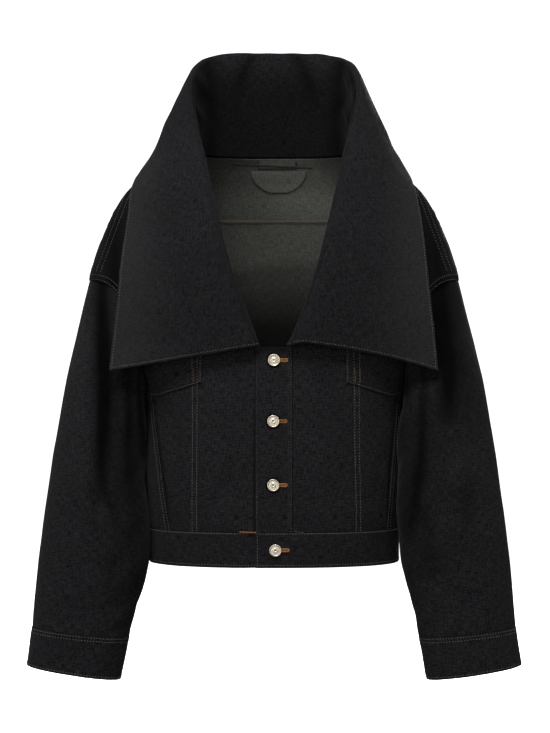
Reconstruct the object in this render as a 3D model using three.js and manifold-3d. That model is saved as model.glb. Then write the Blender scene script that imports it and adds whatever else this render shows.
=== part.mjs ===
// A denim jacket with an oversized fold-over collar, empty, in the shape that it has when worn.
// Millimetres, +Z up. The front faces -Y and +X is the wearer's left.
// The origin lies between the shoulders at the height of the neck seam.
import * as THREE from 'three';
import { mergeVertices } from 'three/addons/utils/BufferGeometryUtils.js';
import Module from 'manifold-3d';

const wasm = await Module();
wasm.setup();

// Driving dimensions
const clothThickness = 1.6;
const doubleThickness = 2.2;
const seamGap = 0.3;
const halfGap = seamGap / 2;
const layerLift = 0.92;
const hemHeight = -585;
const waistbandTop = -536;
const neckFrontHeight = -281;
const placketHalfWidth = 25.5;
const roundness = 2 / 2.4;
const sleeveRoundness = 0.92;
const layerGap = 0.5;
const slopeStep = 0.004;

// How many columns and rows each wall's grid has, where no seam sets them
const frontColumns = { centre: 5, middle: 4, side: 3 };
const backColumns = 16;
const flapGrid = { insideColumns: 5, outsideColumns: 4, rows: 4 };
const placketGrid = { columns: 4, rows: 10 };
const waistbandGrid = { columns: 64, rows: 2 };
const collarGrid = { columns: 52, rows: 12 };
const sleeveGridRows = 18;
const cuffGridRows = 2;

// The body's level sections from hem to neck: the height, the half width, how far the front
// and the back stand from the widest line, and the depth of that line.
const bodySections = [
  { height: -585, halfWidth: 181, front: 139, back: 97, middle: 15 },
  { height: -536, halfWidth: 183, front: 141, back: 99, middle: 15 },
  { height: -500, halfWidth: 187, front: 143, back: 101, middle: 15 },
  { height: -450, halfWidth: 190, front: 143, back: 103, middle: 14 },
  { height: -400, halfWidth: 190, front: 141, back: 105, middle: 13 },
  { height: -360, halfWidth: 190, front: 138, back: 108, middle: 12 },
  { height: -330, halfWidth: 193, front: 134, back: 111, middle: 10 },
  { height: -300, halfWidth: 205, front: 130, back: 113, middle: 9 },
  { height: -265, halfWidth: 228, front: 124, back: 115, middle: 8 },
  { height: -225, halfWidth: 252, front: 115, back: 116, middle: 6 },
  { height: -180, halfWidth: 268, front: 101, back: 116, middle: 5 },
  { height: -143, halfWidth: 259, front: 88, back: 114, middle: 5 },
  { height: -109, halfWidth: 246, front: 74, back: 110, middle: 5 },
  { height: -74, halfWidth: 230, front: 57, back: 103, middle: 6 },
  { height: -50, halfWidth: 214, front: 44, back: 97, middle: 7 },
  { height: -34, halfWidth: 197, front: 33, back: 91, middle: 8 },
  { height: -20, halfWidth: 175, front: 23, back: 84, middle: 9 },
  { height: -8, halfWidth: 147, front: 13, back: 78, middle: 10 },
  { height: 5, halfWidth: 110, front: 5, back: 70, middle: 10 },
];

// The armhole seam in front view: from the shoulder point down to the underarm. Sleeve and
// panels meet it at the same evenly shared nodes, and the yoke seam starts at one of them.
const armhole = { topX: 268, topZ: -180, underX: 191, underZ: -342, squareness: 2 / 2.5 };
const armholeNodes = 12;
const yokeSeamNode = 9;
const sideSeamRows = 7;

// The shoulder seam is shared out in even steps too, and the back yoke seam lies on one.
const shoulderSteps = 9;
const backYokeSteps = 6;

// The neckline in front view, from the top of the placket to the shoulder.
const neckline = [
  { height: -281, x: 26 },
  { height: -225, x: 53 },
  { height: -126, x: 85 },
  { height: -50, x: 102 },
  { height: 5, x: 110 },
];

// Seams that run down each front, at the yoke seam and at the waistband.
const fronts = {
  left: { side: 1, princessTop: 110, princessBottom: 114, pocketTop: 182, pocketBottom: 160 },
  right: { side: -1, princessTop: 106, princessBottom: 107, pocketTop: 184, pocketBottom: 147 },
};

// Each sleeve from armhole to cuff seam: the outer and the inner edge in front view, the depth
// of the middle and half the depth of the sleeve. The wearer's left sleeve hangs a little further
// forward and in, so it has an inner edge and a middle of its own.
const sleeveRows = [
  { outX: 268, outZ: -180, inX: 191, inZ: -342, midY: 6, halfDepth: 78, inXLeft: 191, midYLeft: 6 },
  { outX: 280, outZ: -232, inX: 192, inZ: -374, midY: 0, halfDepth: 72, inXLeft: 192, midYLeft: -3 },
  { outX: 290, outZ: -281, inX: 190, inZ: -406, midY: -17, halfDepth: 67, inXLeft: 184, midYLeft: -32 },
  { outX: 299, outZ: -330, inX: 187, inZ: -438, midY: -31, halfDepth: 63, inXLeft: 177, midYLeft: -52 },
  { outX: 307, outZ: -379, inX: 184, inZ: -473, midY: -41, halfDepth: 61, inXLeft: 174, midYLeft: -60 },
  { outX: 315, outZ: -428, inX: 182, inZ: -509, midY: -46, halfDepth: 60, inXLeft: 174, midYLeft: -62 },
  { outX: 322, outZ: -477, inX: 181, inZ: -545, midY: -50, halfDepth: 58, inXLeft: 177, midYLeft: -61 },
  { outX: 329, outZ: -526, inX: 182, inZ: -581, midY: -52, halfDepth: 56, inXLeft: 181, midYLeft: -60 },
  { outX: 335, outZ: -575, inX: 189, inZ: -617, midY: -54, halfDepth: 54, inXLeft: 190, midYLeft: -58 },
  { outX: 340, outZ: -624, inX: 198, inZ: -652, midY: -56, halfDepth: 52, inXLeft: 199, midYLeft: -57 },
  { outX: 344, outZ: -673, inX: 206, inZ: -688, midY: -57, halfDepth: 50, inXLeft: 206, midYLeft: -57 },
];
const cuffRows = [
  { outX: 344, outZ: -673, inX: 206, inZ: -688, midY: -57, halfDepth: 50 },
  { outX: 352, outZ: -727, inX: 217, inZ: -748, midY: -59, halfDepth: 47 },
];

// The largest folds of the sleeves: the angle round the sleeve from its outer edge towards
// the front, at the start and the end, where it runs along the sleeve, its width and depth.
const sleeveFolds = [
  { sleeve: 'right', startAngle: 100, endAngle: 118, from: 0.08, to: 0.62, width: 16, depth: 9 },
  { sleeve: 'right', startAngle: 150, endAngle: 140, from: 0.2, to: 0.7, width: 14, depth: 5 },
  { sleeve: 'left', startAngle: 95, endAngle: 112, from: 0.06, to: 0.5, width: 16, depth: 9 },
  { sleeve: 'left', startAngle: 120, endAngle: 138, from: 0.25, to: 0.75, width: 14, depth: 6 },
  { sleeve: 'right', startAngle: 250, endAngle: 235, from: 0.1, to: 0.6, width: 16, depth: 7 },
  { sleeve: 'left', startAngle: 255, endAngle: 238, from: 0.12, to: 0.65, width: 16, depth: 7 },
];

// The collar from the centre back to its front end: the point of the neckline (an angle round
// the back, or a height on the front), the roll line, the free edge, and how far the fall
// bows outwards between them.
const collarRows = [
  { seamAngle: 180, roll: [0, 96, 162], edge: [0, 150, -88], bow: 5 },
  { seamAngle: 153, roll: [56, 93, 161], edge: [75, 148, -86], bow: 5 },
  { seamAngle: 128, roll: [100, 76, 152], edge: [140, 130, -76], bow: 5 },
  { seamAngle: 108, roll: [116, 42, 134], edge: [184, 82, -52], bow: 4 },
  { seamAngle: 90, roll: [122, 8, 98], edge: [196, 12, -29], bow: 0 },
  { seamHeight: -35, roll: [113, -25, 40], edge: [203, -24, -48], bow: -3 },
  { seamHeight: -80, roll: [102, -55, -5], edge: [210, -54, -98], bow: -5 },
  { seamHeight: -130, roll: [89, -88, -65], edge: [216, -73, -150], bow: -7 },
  { seamHeight: -180, roll: [74, -113, -128], edge: [220, -84, -202], bow: -8 },
  { seamHeight: -232, roll: [49, -127, -210], edge: [226, -91, -257], bow: -9 },
  { seamHeight: -279, roll: [23, -131, -273], edge: [231, -94, -310], bow: -10 },
];

// The pointed chest flaps: their outline in front view, below the yoke seam.
const flap = { innerX: 101, pointX: 165, outerX: 184, innerZ: -326, pointZ: -346, outerZ: -340,
  thickness: 1.3 };

// The blank label, the hanger loop over it and the half-moon patch inside the back neck:
// centre, width, heights, and how much lower the left end lies than the right one.
const neckLabel = { x: 5, width: 57, top: 2.5, bottom: -9.5, slant: 0, thickness: 0.8,
  columns: 4, rows: 1 };
const hangerLoop = { x: -2, width: 116, top: -2.5, bottom: -5.5, slant: 6, thickness: 0.9,
  columns: 8, rows: 1 };
const neckPatch = { x: 7, width: 84, top: -12, bottom: -44, slant: 0, thickness: 0.8,
  columns: 8, rows: 5 };
const patchRounding = 0.94;

// The button's outline from its shank over the rim to the dished middle: the radius, and the
// height above the front layer.
const shankRadius = 1.8;
const buttonHead = [
  { radius: 1.8, height: 0.7 },
  { radius: 7.7, height: 0.7 },
  { radius: 8.5, height: 1.7 },
  { radius: 8, height: 2.9 },
  { radius: 7.2, height: 3.1 },
  { radius: 3.8, height: 2.6 },
  { radius: 0, height: 2.1 },
];
const buttonPlaces = [
  { x: 0, height: -295 },
  { x: -1, height: -380 },
  { x: -1, height: -469 },
  { x: 2, height: -560 },
];
const buttonhole = { start: -3.5, end: 17.5, halfHeight: 2.4 };
const slotDepth = 1.9;
const buttonSides = 16;

// Colours
const denim = { color: 0x1d1d24, roughness: 0.88, metalness: 0 };
const collarDenim = { color: 0x26262d, roughness: 0.88, metalness: 0 };
const paleGold = { color: 0xcdbb94, roughness: 0.35, metalness: 1 };
const labelCloth = { color: 0x56584f, roughness: 0.9, metalness: 0 };

const group = new THREE.Group();

// Numbers between the rows of a table, by a smooth curve that never overshoots a row.
function between(values, t) {
  const last = values.length - 1;
  const i = Math.min(Math.max(Math.floor(t), 0), last - 1);
  const step = (k) => values[k + 1] - values[k];
  const slope = (k) => {
    if (k === 0) return step(0);
    if (k === last) return step(last - 1);
    const product = step(k - 1) * step(k);
    return product > 0 ? (2 * product) / (step(k - 1) + step(k)) : 0;
  };
  const f = t - i;
  const g = f * f * (3 - 2 * f);
  return values[i] * (1 - g) + values[i + 1] * g
    + slope(i) * f * (1 - f) * (1 - f) - slope(i + 1) * f * f * (1 - f);
}

function tableReader(rows) {
  const columns = {};
  for (const name of Object.keys(rows[0])) columns[name] = rows.map((row) => row[name]);
  return (t) => {
    const values = {};
    for (const name of Object.keys(columns)) values[name] = between(columns[name], t);
    return values;
  };
}

// The place in a table whose height column has the given value, rising with the rows.
function placeOf(rows, height) {
  const heights = rows.map((row) => row.height);
  let low = 0;
  let high = rows.length - 1;
  for (let step = 0; step < 40; step += 1) {
    const middle = (low + high) / 2;
    if (between(heights, middle) < height) low = middle;
    else high = middle;
  }
  return (low + high) / 2;
}

const signedPower = (value, power) => Math.sign(value) * Math.abs(value) ** power;
const bodyAt = tableReader(bodySections);
const bodyPlace = (height) => placeOf(bodySections, height);
const topPlace = bodySections.length - 1;

// A point of the body's outside: the angle runs from the centre front (0) over the wearer's
// left side (90 degrees) to the centre back.
function bodyPoint(angle, place) {
  const section = bodyAt(place);
  const face = Math.cos(angle);
  const depth = face > 0 ? section.front : section.back;
  return new THREE.Vector3(
    section.halfWidth * signedPower(Math.sin(angle), roundness),
    section.middle - depth * signedPower(face, roundness),
    section.height,
  );
}

function bodyNormal(angle, place) {
  const top = Math.min(place + slopeStep, topPlace);
  const bottom = Math.max(place - slopeStep, 0);
  const round = bodyPoint(angle + slopeStep, place).sub(bodyPoint(angle - slopeStep, place));
  const up = bodyPoint(angle, top).sub(bodyPoint(angle, bottom));
  return round.cross(up).normalize();
}

const movedOut = (angle, place, distance) =>
  bodyPoint(angle, place).addScaledVector(bodyNormal(angle, place), distance);

// The angle round the body at a front-view x and a place.
function angleAt(x, place) {
  const share = Math.min(Math.abs(x) / bodyAt(place).halfWidth, 1);
  return Math.sign(x) * Math.asin(share ** (1 / roundness));
}

// A closed wall from two point functions over a grid: u runs round and v runs up.
function wall(columns, rows, outer, inner, closed = false) {
  const positions = [];
  const across = closed ? columns : columns + 1;
  const sheets = [outer, inner];
  for (const sheet of sheets) {
    for (let j = 0; j <= rows; j += 1) {
      for (let i = 0; i < across; i += 1) {
        positions.push(...sheet(i / columns, j / rows).toArray());
      }
    }
  }
  const sheetSize = across * (rows + 1);
  const at = (sheet, i, j) => sheet * sheetSize + j * across + (closed ? i % columns : i);
  const triangles = [];
  const quad = (a, b, c, d) => triangles.push(a, b, c, a, c, d);
  for (let j = 0; j < rows; j += 1) {
    for (let i = 0; i < columns; i += 1) {
      quad(at(0, i, j), at(0, i + 1, j), at(0, i + 1, j + 1), at(0, i, j + 1));
      quad(at(1, i, j), at(1, i, j + 1), at(1, i + 1, j + 1), at(1, i + 1, j));
    }
  }
  for (let i = 0; i < columns; i += 1) {
    quad(at(0, i + 1, 0), at(0, i, 0), at(1, i, 0), at(1, i + 1, 0));
    quad(at(0, i, rows), at(0, i + 1, rows), at(1, i + 1, rows), at(1, i, rows));
  }
  if (!closed) {
    for (let j = 0; j < rows; j += 1) {
      quad(at(0, 0, j), at(0, 0, j + 1), at(1, 0, j + 1), at(1, 0, j));
      quad(at(0, columns, j + 1), at(0, columns, j), at(1, columns, j), at(1, columns, j + 1));
    }
  }
  const geometry = new THREE.BufferGeometry();
  geometry.setAttribute('position', new THREE.Float32BufferAttribute(positions, 3));
  geometry.setIndex(triangles);
  return geometry;
}

function addMesh(name, geometry, look) {
  const faceted = geometry.toNonIndexed();
  faceted.deleteAttribute('normal');
  faceted.computeVertexNormals();
  const mesh = new THREE.Mesh(faceted, new THREE.MeshStandardMaterial(look));
  mesh.name = name;
  group.add(mesh);
  return mesh;
}

function toSolid(geometry) {
  const bare = geometry.clone();
  bare.deleteAttribute('normal');
  bare.deleteAttribute('uv');
  const merged = mergeVertices(bare, 1e-4);
  return new wasm.Manifold(new wasm.Mesh({
    numProp: 3,
    vertProperties: new Float32Array(merged.attributes.position.array),
    triVerts: new Uint32Array(merged.index.array),
  }));
}

function fromSolid(solid) {
  const mesh = solid.getMesh();
  const geometry = new THREE.BufferGeometry();
  geometry.setAttribute('position', new THREE.BufferAttribute(mesh.vertProperties, 3));
  geometry.setIndex(new THREE.BufferAttribute(mesh.triVerts, 1));
  return geometry;
}

// A piece of the body's wall between two edges, each a function of v that gives an angle and
// a place. Offset is how far its outer face stands off the body's outside.
function bodyPiece(columns, rows, startEdge, endEdge, offset = 0, thickness = clothThickness) {
  const sheet = (distance) => (u, v) => {
    const a = startEdge(v);
    const b = endEdge(v);
    const angle = THREE.MathUtils.lerp(a.angle, b.angle, u);
    const place = THREE.MathUtils.lerp(a.place, b.place, u);
    return movedOut(angle, place, distance);
  };
  return wall(columns, rows, sheet(offset), sheet(offset - thickness));
}

// An edge through front-view points: x and height are functions of v.
function frontEdge(x, height) {
  return (v) => {
    const place = bodyPlace(height(v));
    return { angle: angleAt(x(v), place), place };
  };
}

const turned = (edge) => (v) => {
  const { angle, place } = edge(v);
  return { angle: -angle, place };
};

// A front piece for one side: its edges are given from the centre out, on the wearer's left.
function frontPiece(side, columns, rows, inner, outer) {
  if (side > 0) return bodyPiece(columns, rows, inner, outer);
  return bodyPiece(columns, rows, turned(outer), turned(inner));
}

const ramp = (start, end) => (v) => THREE.MathUtils.lerp(start, end, v);
const neckPlace = (height) => placeOf(neckline, height);
const neckX = (height) => between(neckline.map((row) => row.x), neckPlace(height));

// Straight steps through a list, for rows that have to meet their neighbours' rows.
function stepped(list) {
  return (v) => {
    const t = v * (list.length - 1);
    const i = Math.min(Math.floor(t), list.length - 2);
    return THREE.MathUtils.lerp(list[i], list[i + 1], t - i);
  };
}

const evenList = (start, end, steps) =>
  Array.from({ length: steps + 1 }, (_, i) => THREE.MathUtils.lerp(start, end, i / steps));

// The armhole in front view as a curve from the shoulder point (0) to the underarm (1).
function armholeXZ(share) {
  const turn = (Math.min(Math.max(share, 0), 1) * Math.PI) / 2;
  return {
    x: armhole.topX - (armhole.topX - armhole.underX) * Math.sin(turn) ** armhole.squareness,
    height: armhole.topZ
      - (armhole.topZ - armhole.underZ) * (1 - Math.cos(turn) ** armhole.squareness),
  };
}

// The angle that half a seam gap takes up next to the widest line.
function widestGap(depth) {
  return (halfGap / depth) ** (1 / roundness);
}

// The panels' corner on the armhole at a node: half a seam gap inside the curve.
function armholeCorner(node) {
  const e = 0.002;
  const share = node / armholeNodes;
  const before = armholeXZ(share - e);
  const after = armholeXZ(share + e);
  const run = { x: after.x - before.x, height: after.height - before.height };
  const length = Math.hypot(run.x, run.height);
  const point = armholeXZ(share);
  const place = bodyPlace(point.height - (halfGap * run.x) / length);
  const limit = Math.PI / 2 - widestGap(bodyAt(place).front);
  const angle = Math.min(angleAt(point.x + (halfGap * run.height) / length, place), limit);
  return { angle, place };
}

const cornersBetween = (first, last) =>
  Array.from({ length: Math.abs(last - first) + 1 }, (_, i) =>
    armholeCorner(first + Math.sign(last - first) * i));
const yokeSeamHeight = armholeXZ(yokeSeamNode / armholeNodes).height;
const shoulderPlace = bodyPlace(armhole.topZ + halfGap);
const backYokePlace = THREE.MathUtils.lerp(topPlace, shoulderPlace, backYokeSteps / shoulderSteps);

// The rows of the front panels, from the waistband to the yoke seam, and their outer edge:
// the side seam, then the lower armhole.
const lowerArmhole = cornersBetween(armholeNodes, yokeSeamNode);
const sideSeamPlaces = evenList(waistbandTop + halfGap, armhole.underZ, sideSeamRows)
  .slice(0, -1).map(bodyPlace);
lowerArmhole[lowerArmhole.length - 1].place = bodyPlace(yokeSeamHeight - halfGap);
const panelPlace = stepped([...sideSeamPlaces, ...lowerArmhole.map((corner) => corner.place)]);
const sideSeamAngle = (place) => Math.PI / 2 - widestGap(bodyAt(place).front);
const sideAngle = stepped([
  ...sideSeamPlaces.map(sideSeamAngle), ...lowerArmhole.map((corner) => corner.angle)]);
const sideEdge = (v) => ({ angle: sideAngle(v), place: panelPlace(v) });
const panelRows = sideSeamRows + lowerArmhole.length - 1;

// An edge of a front panel through front-view x values, a function of the height.
function panelEdge(xAt) {
  return (v) => {
    const place = panelPlace(v);
    return { angle: angleAt(xAt(bodyAt(place).height), place), place };
  };
}

// A straight line between two points of the front view, as x over height.
function slantedLine(bottomX, topX) {
  return (height) => THREE.MathUtils.mapLinear(height, waistbandTop, yokeSeamHeight, bottomX, topX);
}

// Front panels: centre, middle and side, below the yoke seam
function addFrontPanels(name, front) {
  const princess = slantedLine(front.princessBottom, front.princessTop);
  const pocket = slantedLine(front.pocketBottom, front.pocketTop);
  const inner = (height) => Math.max(
    placketHalfWidth + halfGap, neckX(Math.max(height, neckFrontHeight)));
  const beside = (line, distance) => panelEdge((height) => line(height) + distance);
  const piece = (columns, start, end) => frontPiece(front.side, columns, panelRows, start, end);
  addMesh(`front_centre_${name}`,
    piece(frontColumns.centre, panelEdge(inner), beside(princess, -halfGap)), denim);
  addMesh(`front_middle_${name}`,
    piece(frontColumns.middle, beside(princess, halfGap), beside(pocket, -halfGap)), denim);
  addMesh(`front_side_${name}`,
    piece(frontColumns.side, beside(pocket, halfGap), sideEdge), denim);
}

// Front yoke: between neckline, shoulder seam, armhole and yoke seam. Its grid blends the four
// edges: two opposite edges are averaged, the other two too, and the corners' blend taken off.
function addFrontYoke(name, side) {
  const armRow = cornersBetween(yokeSeamNode, 0);
  const bottom = bodyPlace(yokeSeamHeight + halfGap);
  armRow[0].place = bottom;
  const armAngle = stepped(armRow.map((corner) => corner.angle));
  const armPlace = stepped(armRow.map((corner) => corner.place));
  const arm = (v) => ({ angle: armAngle(v), place: armPlace(v) });
  const shoulder = (u) => {
    const place = THREE.MathUtils.lerp(topPlace, shoulderPlace, u);
    return { angle: Math.PI / 2 - widestGap(bodyAt(place).front), place };
  };
  const neck = (v) => {
    const place = THREE.MathUtils.lerp(bottom, topPlace, v);
    const angle = angleAt(neckX(bodyAt(place).height), place);
    return { angle: Math.min(angle, shoulder(0).angle), place };
  };
  const corners = [neck(0), arm(0), shoulder(0), shoulder(1)];
  const blend = (u, v, key) => {
    const [seamStart, seamEnd, neckTop, armTop] = corners.map((corner) => corner[key]);
    const seam = THREE.MathUtils.lerp(seamStart, seamEnd, u);
    const upAndDown = THREE.MathUtils.lerp(seam, shoulder(u)[key], v);
    const across = THREE.MathUtils.lerp(neck(v)[key], arm(v)[key], u);
    return upAndDown + across
      - THREE.MathUtils.lerp(seam, THREE.MathUtils.lerp(neckTop, armTop, u), v);
  };
  const sheet = (distance) => (u, v) => {
    const across = side > 0 ? u : 1 - u;
    return movedOut(side * blend(across, v, 'angle'), blend(across, v, 'place'), distance);
  };
  addMesh(`front_yoke_${name}`,
    wall(shoulderSteps, yokeSeamNode, sheet(0), sheet(-clothThickness)), denim);
}

// Back: one panel up to the yoke seam, and the yoke above it
function addBack() {
  const aroundBack = (angles, places) => {
    const angle = stepped(angles);
    const place = stepped(places);
    return bodyPiece(backColumns, places.length - 1,
      (v) => ({ angle: angle(v), place: place(v) }),
      (v) => ({ angle: 2 * Math.PI - angle(v), place: place(v) }));
  };
  const seamAngle = (place) => Math.PI / 2 + widestGap(bodyAt(place).back);
  const armRow = cornersBetween(armholeNodes, 0);
  const above = evenList(shoulderPlace, backYokePlace, shoulderSteps - backYokeSteps).slice(1);
  const places = [...sideSeamPlaces, ...armRow.map((corner) => corner.place), ...above];
  const angles = [...sideSeamPlaces.map(seamAngle),
    ...armRow.map((corner) => Math.max(Math.PI - corner.angle, seamAngle(corner.place))),
    ...above.map(seamAngle)];
  const rowHeight = 40;
  const seamHalf = halfGap / rowHeight;
  places[places.length - 1] -= seamHalf;
  addMesh('back_panel', aroundBack(angles, places), denim);
  const yokePlaces = evenList(backYokePlace, topPlace, backYokeSteps);
  yokePlaces[0] += seamHalf;
  addMesh('back_yoke', aroundBack(yokePlaces.map(seamAngle), yokePlaces), denim);
}

// A slot through a front layer for the shank of one button, as a thin upright block.
function slotCutter(place) {
  const width = buttonhole.end - buttonhole.start;
  const block = new THREE.BoxGeometry(width, 2 * slotDepth, 2 * buttonhole.halfHeight);
  const section = bodyPlace(place.height);
  const centre = bodyPoint(0, section);
  const facing = new THREE.Quaternion().setFromUnitVectors(
    new THREE.Vector3(0, -1, 0), bodyNormal(0, section));
  block.translate(place.x + buttonhole.start + width / 2, 0, 0);
  block.applyQuaternion(facing);
  block.translate(0, centre.y, centre.z);
  return toSolid(block);
}

function cutSlots(geometry, places) {
  let solid = toSolid(geometry);
  for (const place of places) solid = solid.subtract(slotCutter(place));
  return fromSolid(solid);
}

const underOffset = -(clothThickness + layerGap);

// A flap hangs from the yoke seam over the panels, with its point off centre.
function addFlap(name, side) {
  const { insideColumns, outsideColumns, rows } = flapGrid;
  const firstRow = 6;
  const list = (key) => [...evenList(flap[`inner${key}`], flap[`point${key}`], insideColumns),
    ...evenList(flap[`point${key}`], flap[`outer${key}`], outsideColumns).slice(1)];
  const x = stepped(list('X'));
  const bottom = stepped(list('Z'));
  const sheet = (distance) => (u, v) => {
    const across = side > 0 ? u : 1 - u;
    const low = bottom(across);
    const place = stepped([bodyPlace(low), bodyPlace(Math.max(low + firstRow, armhole.underZ)),
      ...lowerArmhole.slice(1, -1).map((corner) => corner.place),
      bodyPlace(yokeSeamHeight - 1)])(v);
    return movedOut(side * angleAt(x(across), place), place, distance);
  };
  addMesh(`flap_${name}`,
    wall(insideColumns + outsideColumns, rows, sheet(layerLift + flap.thickness),
      sheet(layerLift)), denim);
}

// A flat piece of cloth on the inside of the back yoke. Its width at each height is a share of
// the whole width, worked out by the outline function.
function addInside(name, piece, outline, lift = layerLift) {
  const sheet = (distance) => (u, v) => {
    const height = THREE.MathUtils.lerp(piece.bottom, piece.top, v);
    const place = bodyPlace(height + (u - 0.5) * piece.slant);
    const x = piece.x + (0.5 - u) * piece.width * outline(v);
    return movedOut(Math.PI - angleAt(x, place), place, distance);
  };
  const outer = -(clothThickness + lift);
  addMesh(name,
    wall(piece.columns, piece.rows, sheet(outer), sheet(outer - piece.thickness)), labelCloth);
}

function addPlacket() {
  const top = neckFrontHeight - halfGap;
  const height = ramp(waistbandTop + halfGap, top);
  const { columns, rows } = placketGrid;
  const over = bodyPiece(columns, rows,
    frontEdge(() => -placketHalfWidth + halfGap, height),
    frontEdge(() => placketHalfWidth - halfGap, height));
  addMesh('placket_over', cutSlots(over, buttonPlaces.slice(0, 3)), denim);
  const pastEdge = 8;
  const shortOfSeam = 2;
  const under = bodyPiece(columns, rows,
    frontEdge(() => -placketHalfWidth - pastEdge, height),
    frontEdge(() => placketHalfWidth - shortOfSeam, height), underOffset);
  addMesh('placket_under', under, denim);
}

// Waistband: one band all round, whose wearer's right end passes under the left one
function addWaistband() {
  const lap = placketHalfWidth - halfGap;
  const { columns, rows } = waistbandGrid;
  const bandMiddle = 0.5;
  const shortOfSeam = 2;
  const dip = { start: 22, end: 3, share: 1.25 };
  const angleOf = (x) => angleAt(x, bandMiddle);
  const start = angleOf(-lap);
  const end = 2 * Math.PI + angleOf(lap - shortOfSeam);
  const dipStart = 2 * Math.PI + angleOf(-lap - dip.start);
  const dipEnd = 2 * Math.PI + angleOf(-lap - dip.end);
  const sheet = (distance) => (u, v) => {
    const even = THREE.MathUtils.lerp(start, end, u);
    const under = underOffset * dip.share * THREE.MathUtils.smoothstep(even, dipStart, dipEnd);
    const height = THREE.MathUtils.lerp(hemHeight, waistbandTop - halfGap, v);
    return movedOut(even, bodyPlace(height), distance + under);
  };
  const band = wall(columns, rows, sheet(0), sheet(-clothThickness));
  addMesh('waistband', cutSlots(band, buttonPlaces.slice(3)), denim);
}

// Sleeves and cuffs
function sleeveReader(rows, name) {
  const at = tableReader(rows);
  const last = rows.length - 1;
  return (share) => {
    const row = at(share * last);
    if (name === 'left' && 'inXLeft' in row) return { ...row, inX: row.inXLeft, midY: row.midYLeft };
    return row;
  };
}

// A ring of the sleeve: the angle runs from the outer edge over the front and the inner edge.
function ringPoint(row, angle) {
  const side = signedPower(Math.cos(angle), sleeveRoundness);
  const face = signedPower(Math.sin(angle), sleeveRoundness);
  return new THREE.Vector3(
    (row.outX + row.inX) / 2 + ((row.outX - row.inX) / 2) * side,
    row.midY - row.halfDepth * face,
    (row.outZ + row.inZ) / 2 + ((row.outZ - row.inZ) / 2) * side,
  );
}

function armholePoint(angle) {
  const share = Math.abs(angle <= Math.PI ? angle : 2 * Math.PI - angle) / Math.PI;
  const point = armholeXZ(share);
  const place = bodyPlace(point.height);
  const bodyAngle = angleAt(point.x, place);
  return bodyPoint(angle <= Math.PI ? bodyAngle : Math.PI - bodyAngle, place);
}

// How much of the sleeve's length eases from the armhole's shape into its own, and how much of
// it is pressed thin beside the seam.
const armholeBlend = 0.3;
const pressedLength = 0.03;
const pressedShare = 0.5;
const seamStart = 0.0009;
const fadeOut = (share, length) => 1 - THREE.MathUtils.smoothstep(share, 0, length);

// How deep the folds press in at an angle and a share of the sleeve's length.
function foldDepth(name, angle, share) {
  let depth = 0;
  for (const fold of sleeveFolds) {
    if (fold.sleeve !== name || share < fold.from || share > fold.to) continue;
    const along = (share - fold.from) / (fold.to - fold.from);
    const middle = THREE.MathUtils.lerp(fold.startAngle, fold.endAngle, along);
    const away = (THREE.MathUtils.radToDeg(angle) - middle) / fold.width;
    depth += fold.depth * Math.sin(Math.PI * along) * Math.exp(-away * away);
  }
  return depth;
}

function sleevePoint(name, rowAt, angle, share) {
  const row = rowAt(share);
  const start = rowAt(0);
  const point = ringPoint(row, angle);
  const shift = armholePoint(angle).sub(ringPoint(start, angle));
  point.addScaledVector(shift, fadeOut(share, armholeBlend));
  const centre = new THREE.Vector3((row.outX + row.inX) / 2, row.midY, (row.outZ + row.inZ) / 2);
  const inward = centre.sub(point).normalize();
  point.addScaledVector(inward, foldDepth(name, angle, share));
  return clearOfBody(point);
}

// Below the underarm the sleeve leans on the body's side: its points stay this far off it.
const sleeveClearance = 2.2;
const clearanceStart = 12;
const belowHem = 20;

function clearOfBody(point) {
  const below = armhole.underZ - point.z;
  if (below <= 0 || point.z < hemHeight - belowHem) return point;
  const section = bodyAt(bodyPlace(point.z));
  const depth = point.y < section.middle ? section.front : section.back;
  const share = Math.min(Math.abs(point.y - section.middle) / depth, 1);
  const bodyX = section.halfWidth * (1 - share ** (2 / roundness)) ** (roundness / 2);
  const clearance = sleeveClearance * Math.min(below / clearanceStart, 1);
  point.x = Math.max(point.x, bodyX + clearance);
  return point;
}

// The two faces of a sleeve's wall. Its top edge is pressed thinner, down to edgeShare.
function tubeSheets(side, pointAt, thickness, edgeShare = 1) {
  const e = 0.002;
  const sheet = (distance) => (u, v) => {
    const angle = 2 * Math.PI * (side > 0 ? 1 - u : u);
    const turnedAngle = (angle + 2 * Math.PI) % (2 * Math.PI);
    const share = 1 - v;
    const ring = pointAt((turnedAngle + e) % (2 * Math.PI), share)
      .sub(pointAt((turnedAngle - e + 2 * Math.PI) % (2 * Math.PI), share));
    const down = pointAt(turnedAngle, Math.min(share + e, 1))
      .sub(pointAt(turnedAngle, Math.max(share - e, 0)));
    const normal = ring.cross(down).normalize();
    const thinned = distance * (1 - (1 - edgeShare) * fadeOut(share, pressedLength));
    const point = pointAt(turnedAngle, share).addScaledVector(normal, -thinned);
    point.x *= side;
    return point;
  };
  return [sheet(0), sheet(thickness)];
}

function addSleeve(name, side) {
  const rowAt = sleeveReader(sleeveRows, name);
  const columns = 2 * armholeNodes;
  const pointAt = (angle, share) => sleevePoint(name, rowAt, angle,
    THREE.MathUtils.lerp(seamStart, 1, share));
  const sleeveSheets = tubeSheets(side, pointAt, clothThickness, pressedShare);
  addMesh(`sleeve_${name}`, wall(columns, sleeveGridRows, ...sleeveSheets, true), denim);
  const cuffAt = sleeveReader(cuffRows, name);
  const cuffStart = seamGap / (cuffRows[0].outZ - cuffRows[1].outZ);
  const cuffPoint = (angle, share) => ringPoint(
    cuffAt(THREE.MathUtils.lerp(cuffStart, 1, share)), angle);
  const cuffSheets = tubeSheets(side, cuffPoint, doubleThickness);
  addMesh(`cuff_${name}`, wall(columns, cuffGridRows, ...cuffSheets, true), denim);
}

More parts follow.
